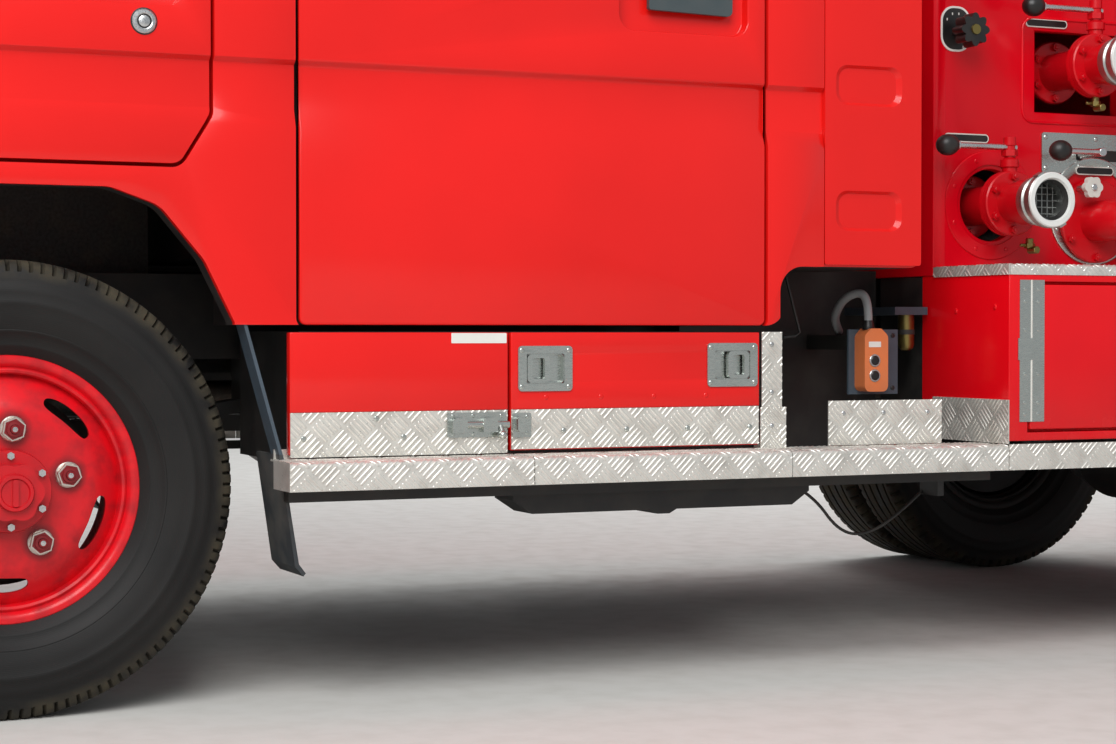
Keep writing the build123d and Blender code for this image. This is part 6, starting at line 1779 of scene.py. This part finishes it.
@dataclass(frozen=True)
class GapFittings:
    """What shows between cab and pump panel: orange switch on its back plate, filter bowl and arms."""

    def draw(self) -> None:
        """Make the fittings of the left side."""
        shape = Shape()
        shape.finish = 1
        # Tall near-black plate at the back of the gap between cab and pump panel: painted shade, a dark sheet
        # where the gap lies in shade.
        shape.box((455, FY(1405), 380), (470, FY(1874), 770), 3)
        shape.box((375, FY(1705), 605), (694, FY(1735), 635), 2)
        shape.finish = 0
        shape.box((694, FY(1664), 517), (700, FY(1779), 646), 1.2)
        shape.finish = 3
        for y, z in ((1767, 529), (1767, 634)):
            dome(shape, 699.6, FY(y), z, 5, 2.6)
        shape.finish = 2
        housing = [(FY(1678), 523, 12), (FY(1732), 523, 12), (FY(1732), 634, 14), (FY(1716), 648, 6),
                   (FY(1692), 648, 6), (FY(1678), 634, 14)]
        shape.prism(rounded(housing, 6), Axis.X, 700, 738, radius=5, steps=3)
        for z in (584.7, 554.8):
            spot = (0, FY(1701), z)
            shape.finish = 5
            shape.lathe([(12.5, 734), (12.5, 739), (11.5, 740), (9.6, 740), (9.6, 736)], spot, Axis.X, 40)
            shape.finish = 3
            shape.lathe([(9, 734), (9, 739.4), (7.5, 740.6), (0, 740.6)], spot, Axis.X, 36)
        shape.finish = 4
        shape.pad((28, 11, 1.5), 737.4, 738.5, (FY(1701), 616.5), 0.3)
        shape.finish = 3
        gland = [(0, 646), (12, 646), (12, 652), (11.4, 654), (9.4, 664), (0, 664)]
        shape.lathe(gland, (720, FY(1697), 0), Axis.Z)
        shape.tube([(700, FY(1521), 747), (702, FY(1532), 705), (703, FY(1545), 658), (703, FY(1550), 641),
                    (702, FY(1541), 633), (700, FY(1514), 631)], 3, 12)
        shape.done("switch_set", [FLAP_STEEL, BLACK_PAINT, ORANGE, BLACK_PLASTIC, LABEL, BRIGHT], "chassis",
                   replaces=["side_fittings"])
        bowl = Shape()
        centre = (640, FY(1838), 0)
        bowl.finish = 0
        bowl.lathe([(0, 604), (9, 604), (14, 608), (16.5, 616), (16.5, 676)], centre, Axis.Z, 40)
        bowl.finish = 1
        bowl.lathe([(17.5, 636), (17.5, 646), (16, 646), (16, 636)], centre, Axis.Z, 40, closed=True)
        bowl.finish = 2
        bowl.box((470, FY(1796), 676), (664, FY(1874), 692), 2)
        bowl.done("filter_set", [BRASS, BLACK_PAINT, FLAP_STEEL], "chassis",
                  replaces=["side_fittings"])
        clip = Shape()
        clip.box((794, FY(1770), 322), (856, FY(1784), 358), 1.5)
        clip.lathe([(0, -8), (6.5, -8), (6.5, 0), (3.6, 14), (0, 14)], (800, FY(1486), 338), Axis.Y, 24)
        clip.done("cable_clips", [BLACK_PLASTIC], "chassis")


@dataclass(frozen=True)
class Cord:
    """Free cord drawn as a curve along listed points (X, distance behind the front axle, Z)."""

    name: str
    points: tuple[Point, ...]
    diameter_mm: float
    finish: Finish
    slot: str

    def draw(self) -> None:
        """Make the curve."""
        data = bpy.data.curves.new(self.name, "CURVE")
        data.dimensions = "3D"
        data.resolution_u = 24
        data.bevel_depth = self.diameter_mm / 2 * MM
        data.bevel_resolution = 6
        data.use_fill_caps = True
        line = data.splines.new("NURBS")
        line.points.add(len(self.points) - 1)
        for knot, (x, station, z) in zip(line.points, self.points):
            knot.co = (x * MM, FY(station) * MM, z * MM, 1)
        line.order_u = 3
        line.use_endpoint_u = True
        data.materials.append(self.finish.material())
        cord = bpy.data.objects.new(self.name, data)
        bpy.context.scene.collection.objects.link(cord)
        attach(cord, "chassis")


@dataclass(frozen=True)
class Underbody:
    """Frame, axles, engine, driveline and tank, which stay as the frame has them, and the mudflaps."""

    painted: tuple[str, ...] = ("frame", "front_axle", "rear_axle", "locker_carcasses", "fuel_tank",
                                "knuckle_left", "knuckle_right")
    cast: tuple[str, ...] = ("engine_block", "driveline")

    def draw(self) -> None:
        """Dress the running gear and make the flaps."""
        for node in self.painted:
            dressed(node, BLACK_PAINT)
        for node in self.cast:
            dressed(node, CAST)
        dressed("exhaust", EXHAUST_STEEL)
        fronts = Shape()
        fronts.box((-1000, FY(250), 150), (1000, FY(700), 760))
        softened("mudflaps", FLAP, "chassis", 1.2, cutters=[fronts])
        for side in Side:
            shape = Shape()
            strip = [(382, 653), (388, 653), (452, 424), (446, 424)]
            shape.prism([(FY(y), z) for y, z in strip], Axis.X, 800, 848, radius=0.8)
            shape.finish = 1
            flap = [(443, 432), (449, 432), (464, 330), (478, 244), (490, 228), (486, 223), (471, 240),
                    (458, 330)]
            shape.prism([(FY(y), z) for y, z in flap], Axis.X, 712, 849, radius=0.8)
            shape.done(f"flap_front_{side.word}", [FLAP_STEEL, FLAP], "chassis", side)


@dataclass(frozen=True)
class RoofBar:
    """Light bar: base, red beacon lenses at the ends, siren grille in the middle and feet."""

    centre_y: float = -520
    low_z: float = 2270
    high_z: float = 2405
    half_x: float = 700
    half_y: float = 110

    def draw(self) -> None:
        """Make the bar."""
        y = FY(self.centre_y)
        front = y - self.half_y
        rear = y + self.half_y
        low_z = self.low_z
        shape = Shape()
        shape.finish = 1
        shape.box((-self.half_x + 4, front + 2, low_z), (self.half_x - 4, rear - 2, low_z + 24), 5)
        for sign in (-1, 1):
            shape.box((sign * 560 - 30, y - 60, low_z - 50), (sign * 560 + 30, y + 60, low_z + 2), 4)
        for low, high, finish in ((-700, -262, 0), (262, 700, 0), (-258, 258, 2)):
            shape.finish = finish
            section = [(front, low_z + 24, 0), (rear, low_z + 24, 0), (rear - 14, self.high_z, 46),
                       (front + 14, self.high_z, 46)]
            shape.prism(rounded(section, 8), Axis.X, low, high, radius=4)
        shape.finish = 1
        for index in range(15):
            x = -210 + index * 30
            shape.box((x - 8, front + 1, low_z + 48), (x + 8, front + 16, low_z + 96), 2)
        for sign in (-1, 1):
            for index in range(12):
                x = sign * (300 + index * 33)
                shape.box((x - 1.2, front + 6, low_z + 26), (x + 1.2, front + 12, low_z + 92))
        shape.done("beacon_bar", [RED_LENS, BLACK_PLASTIC, SHUTTER_ALLOY], "chassis",
                   replaces=["light_bar"])


@dataclass(frozen=True)
class RearBody:
    """Rear body panels, roll shutters with slats and grab bars, and the rear lamps."""

    slat: float = 42
    rail: float = 60
    low_z: float = 970
    high_z: float = 1790
    panel_x: float = 890

    def curtain(self, shape: Shape, low: float, high: float, axis: Axis, face: float) -> None:
        """Slatted curtain between two stations, with its bottom rail and lock bar."""
        count = int((self.high_z - self.low_z - self.rail) / self.slat)

        def lay(profile: Sequence[Pair], radius: float = 0.0) -> None:
            """Extrude a section of (outwards, up) along the curtain."""
            along = Axis.Y if axis is Axis.X else Axis.X
            shape.prism([(face + out, z) for out, z in profile], along, low, high, radius=radius)

        shape.finish = 0
        for index in range(count + 1):
            base = self.low_z + self.rail + index * self.slat
            top = min(base + self.slat - 1.5, self.high_z)
            lay([(0, base), (9, base), (12.5, base + 6), (13.4, (base + top) / 2), (12.5, top - 6), (9, top),
                 (0, top)])
        lay([(0, self.low_z), (14, self.low_z), (14, self.low_z + 56), (0, self.low_z + 56)], 3)
        shape.finish = 1
        lay([(13, self.low_z + 20), (30, self.low_z + 22), (32, self.low_z + 27), (30, self.low_z + 32),
             (13, self.low_z + 34)], 1.5)

    def draw(self) -> None:
        """Make the body."""
        softened("body_walls", BODY_RED, "chassis", 3)
        softened("body_panels", BODY_RED, "chassis", 3)
        front = PLAN.body_front
        rear = PLAN.body_rear
        for side in Side:
            shape = Shape()
            for low, high in ((front + 80, RY(440)), (RY(520), rear - 80)):
                self.curtain(shape, low, high, Axis.X, self.panel_x)
            shape.done(f"shutters_{side.word}", [SHUTTER_ALLOY, BRIGHT], "chassis", side,
                       replaces=["roll_shutters"])
        back = Shape()
        self.curtain(back, -700, 700, Axis.Y, rear - 40)
        back.done("shutter_back", [SHUTTER_ALLOY, BRIGHT], "chassis",
                  replaces=["roll_shutters"])
        lamps = Shape()
        for sign in (-1, 1):
            lamps.finish = 1
            lamps.box((sign * 790 - 90, rear, 630), (sign * 790 + 90, rear + 20, 730), 4)
            for index, finish in enumerate((0, 2, 3)):
                x = sign * 790 - 58 + index * 58
                lamps.finish = finish
                lamps.box((x - 26, rear + 18, 638), (x + 26, rear + 44, 722), 5, 3)
        lamps.done("rear_lamp_units", [RED_LENS, BLACK_PLASTIC, AMBER_LENS, LENS], "chassis",
                   replaces=["rear_lamps"])


@dataclass(frozen=True)
class Deck:
    """What lies on the body roof: rails, ladder and ribbed suction hoses with their couplings."""

    hose_r: float = 55
    rib_pitch: float = 24
    plain_end: float = 120
    top_z: float = 1900

    def draw(self) -> None:
        """Dress the rails and the ladder and wind the hoses."""
        dressed("deck_rails", STAINLESS)
        softened("ladder", COUPLING_ALLOY, "chassis", 3)
        shape = Shape()
        for x in (-560, -430):
            low = PLAN.body_front + 150
            high = PLAN.body_rear - 150
            z = self.top_z + self.hose_r
            shape.finish = 0
            profile = []
            count = int((high - low - 2 * self.plain_end) / self.rib_pitch)
            for index in range(count):
                base = self.plain_end + index * self.rib_pitch
                profile += [(49, base), (54.5, base + 5), (54.5, base + 13), (49, base + 18)]
            shape.lathe([(44, 110)] + profile + [(44, high - low - 110)], (x, low, z), Axis.Y, 36)
            shape.finish = 1
            for base, way in ((low, 1), (high, -1)):
                ring = [(36, 0), (50, 0), (54, 5), (54.5, 30), (50, 34), (50, 60), (46, 66), (46, 124)]
                shape.lathe([(r, a * way) for r, a in ring], (x, base, z), Axis.Y, 40)
                shape.lathe([(36, 0), (36, 20 * way), (0, 20 * way)], (x, base, z), Axis.Y, 40)
        shape.done("hose_pair", [HOSE, COUPLING_ALLOY], "chassis", replaces=["suction_hoses"])


@dataclass(frozen=True)
class Interior:
    """Dashboard and seats."""

    def draw(self) -> None:
        """Round the seats and dress the dashboard."""
        seats = softened("seats", SEAT, "chassis", 26)
        softened("dashboard", BLACK_PLASTIC, "chassis", 5)


CONDUIT = Cord("switch_conduit", (
    (720, 1697, 662), (720, 1697, 700), (710, 1686, 722), (676, 1666, 708), (622, 1678, 672),
    (592, 1704, 650), (572, 1720, 643)), 17, GREY_PLASTIC, "hose_black")
CABLE = Cord("step_cable", (
    (800, 1497, 338), (800, 1530, 318), (800, 1575, 262), (800, 1625, 244), (800, 1700, 270),
    (800, 1778, 334)), 6, LEAD, "black_plastic")


@dataclass(frozen=True)
class Studio:
    """Pale floor, soft light from all round and the camera where the photograph was taken."""

    camera: Point = (4448, -2422, 639)
    aim: Pair = (-0.9114, 0.4115)
    pitch: float = 1.0156
    lens: float = 70.97
    sensor: float = 36
    sky: str = "#E9EDF2"
    sky_strength: float = 0.56
    floor_half: float = 14000

    def floor(self) -> None:
        """Pale concrete ground."""
        shape = Shape()
        shape.box((-self.floor_half, -self.floor_half, -20), (self.floor_half, self.floor_half, 0))
        data = bpy.data.meshes.new("ground")
        shape.mesh.to_mesh(data)
        shape.mesh.free()
        data.materials.append(GROUND.material())
        ground = bpy.data.objects.new("ground", data)
        bpy.context.scene.collection.objects.link(ground)

    def lamp(self, name: str, place: Point, aim: Point, size: float, power: float) -> None:
        """Square soft light; places are millimetres, size is metres."""
        data = bpy.data.lights.new(name, "AREA")
        data.size = size
        data.energy = power
        lamp = bpy.data.objects.new(name, data)
        lamp.location = Vector(place) * MM
        lamp.rotation_euler = (Vector(aim) - Vector(place)).to_track_quat("-Z", "Y").to_euler()
        bpy.context.scene.collection.objects.link(lamp)

    def draw(self) -> None:
        """Set the ground, the light and the camera."""
        self.floor()
        world = bpy.data.worlds.new("open shade")
        bpy.context.scene.world = world
        world.use_nodes = True
        back = world.node_tree.nodes["Background"]
        back.inputs["Color"].default_value = linear(self.sky)
        back.inputs["Strength"].default_value = self.sky_strength
        self.lamp("open sky", (5200, -3600, 5200), (700, -400, 700), 4.6, 455)
        self.lamp("far sky", (-5200, 3600, 6000), (0, 0, 900), 6.0, 340)
        data = bpy.data.cameras.new("camera")
        data.lens = self.lens
        data.sensor_width = self.sensor
        camera = bpy.data.objects.new("camera", data)
        camera.location = Vector(self.camera) * MM
        way = Vector((*self.aim, -math.tan(math.radians(self.pitch)) * Vector(self.aim).length))
        camera.rotation_euler = way.to_track_quat("-Z", "Y").to_euler()
        bpy.context.scene.collection.objects.link(camera)
        bpy.context.scene.camera = camera
        bpy.context.scene.view_settings.view_transform = "Standard"


def main() -> None:
    """Dress the frame piece by piece."""
    logging.basicConfig(level=logging.INFO, format="%(message)s")
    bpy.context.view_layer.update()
    Studio().draw()
    for side in Side:
        FrontWheel().draw(side)
        RearWheels().draw(side)
        LockerRow().draw(side)
        Steps().draw(side)
        CabSide().draw(side)
        SideBox().draw(side)
    Steps().rear()
    CabSide().shell()
    CabFront().draw()
    SideBox().shells()
    PumpPanel().draw()
    GapFittings().draw()
    CONDUIT.draw()
    CABLE.draw()
    Underbody().draw()
    RoofBar().draw()
    RearBody().draw()
    Deck().draw()
    Interior().draw()


if __name__ == "__main__":
    main()
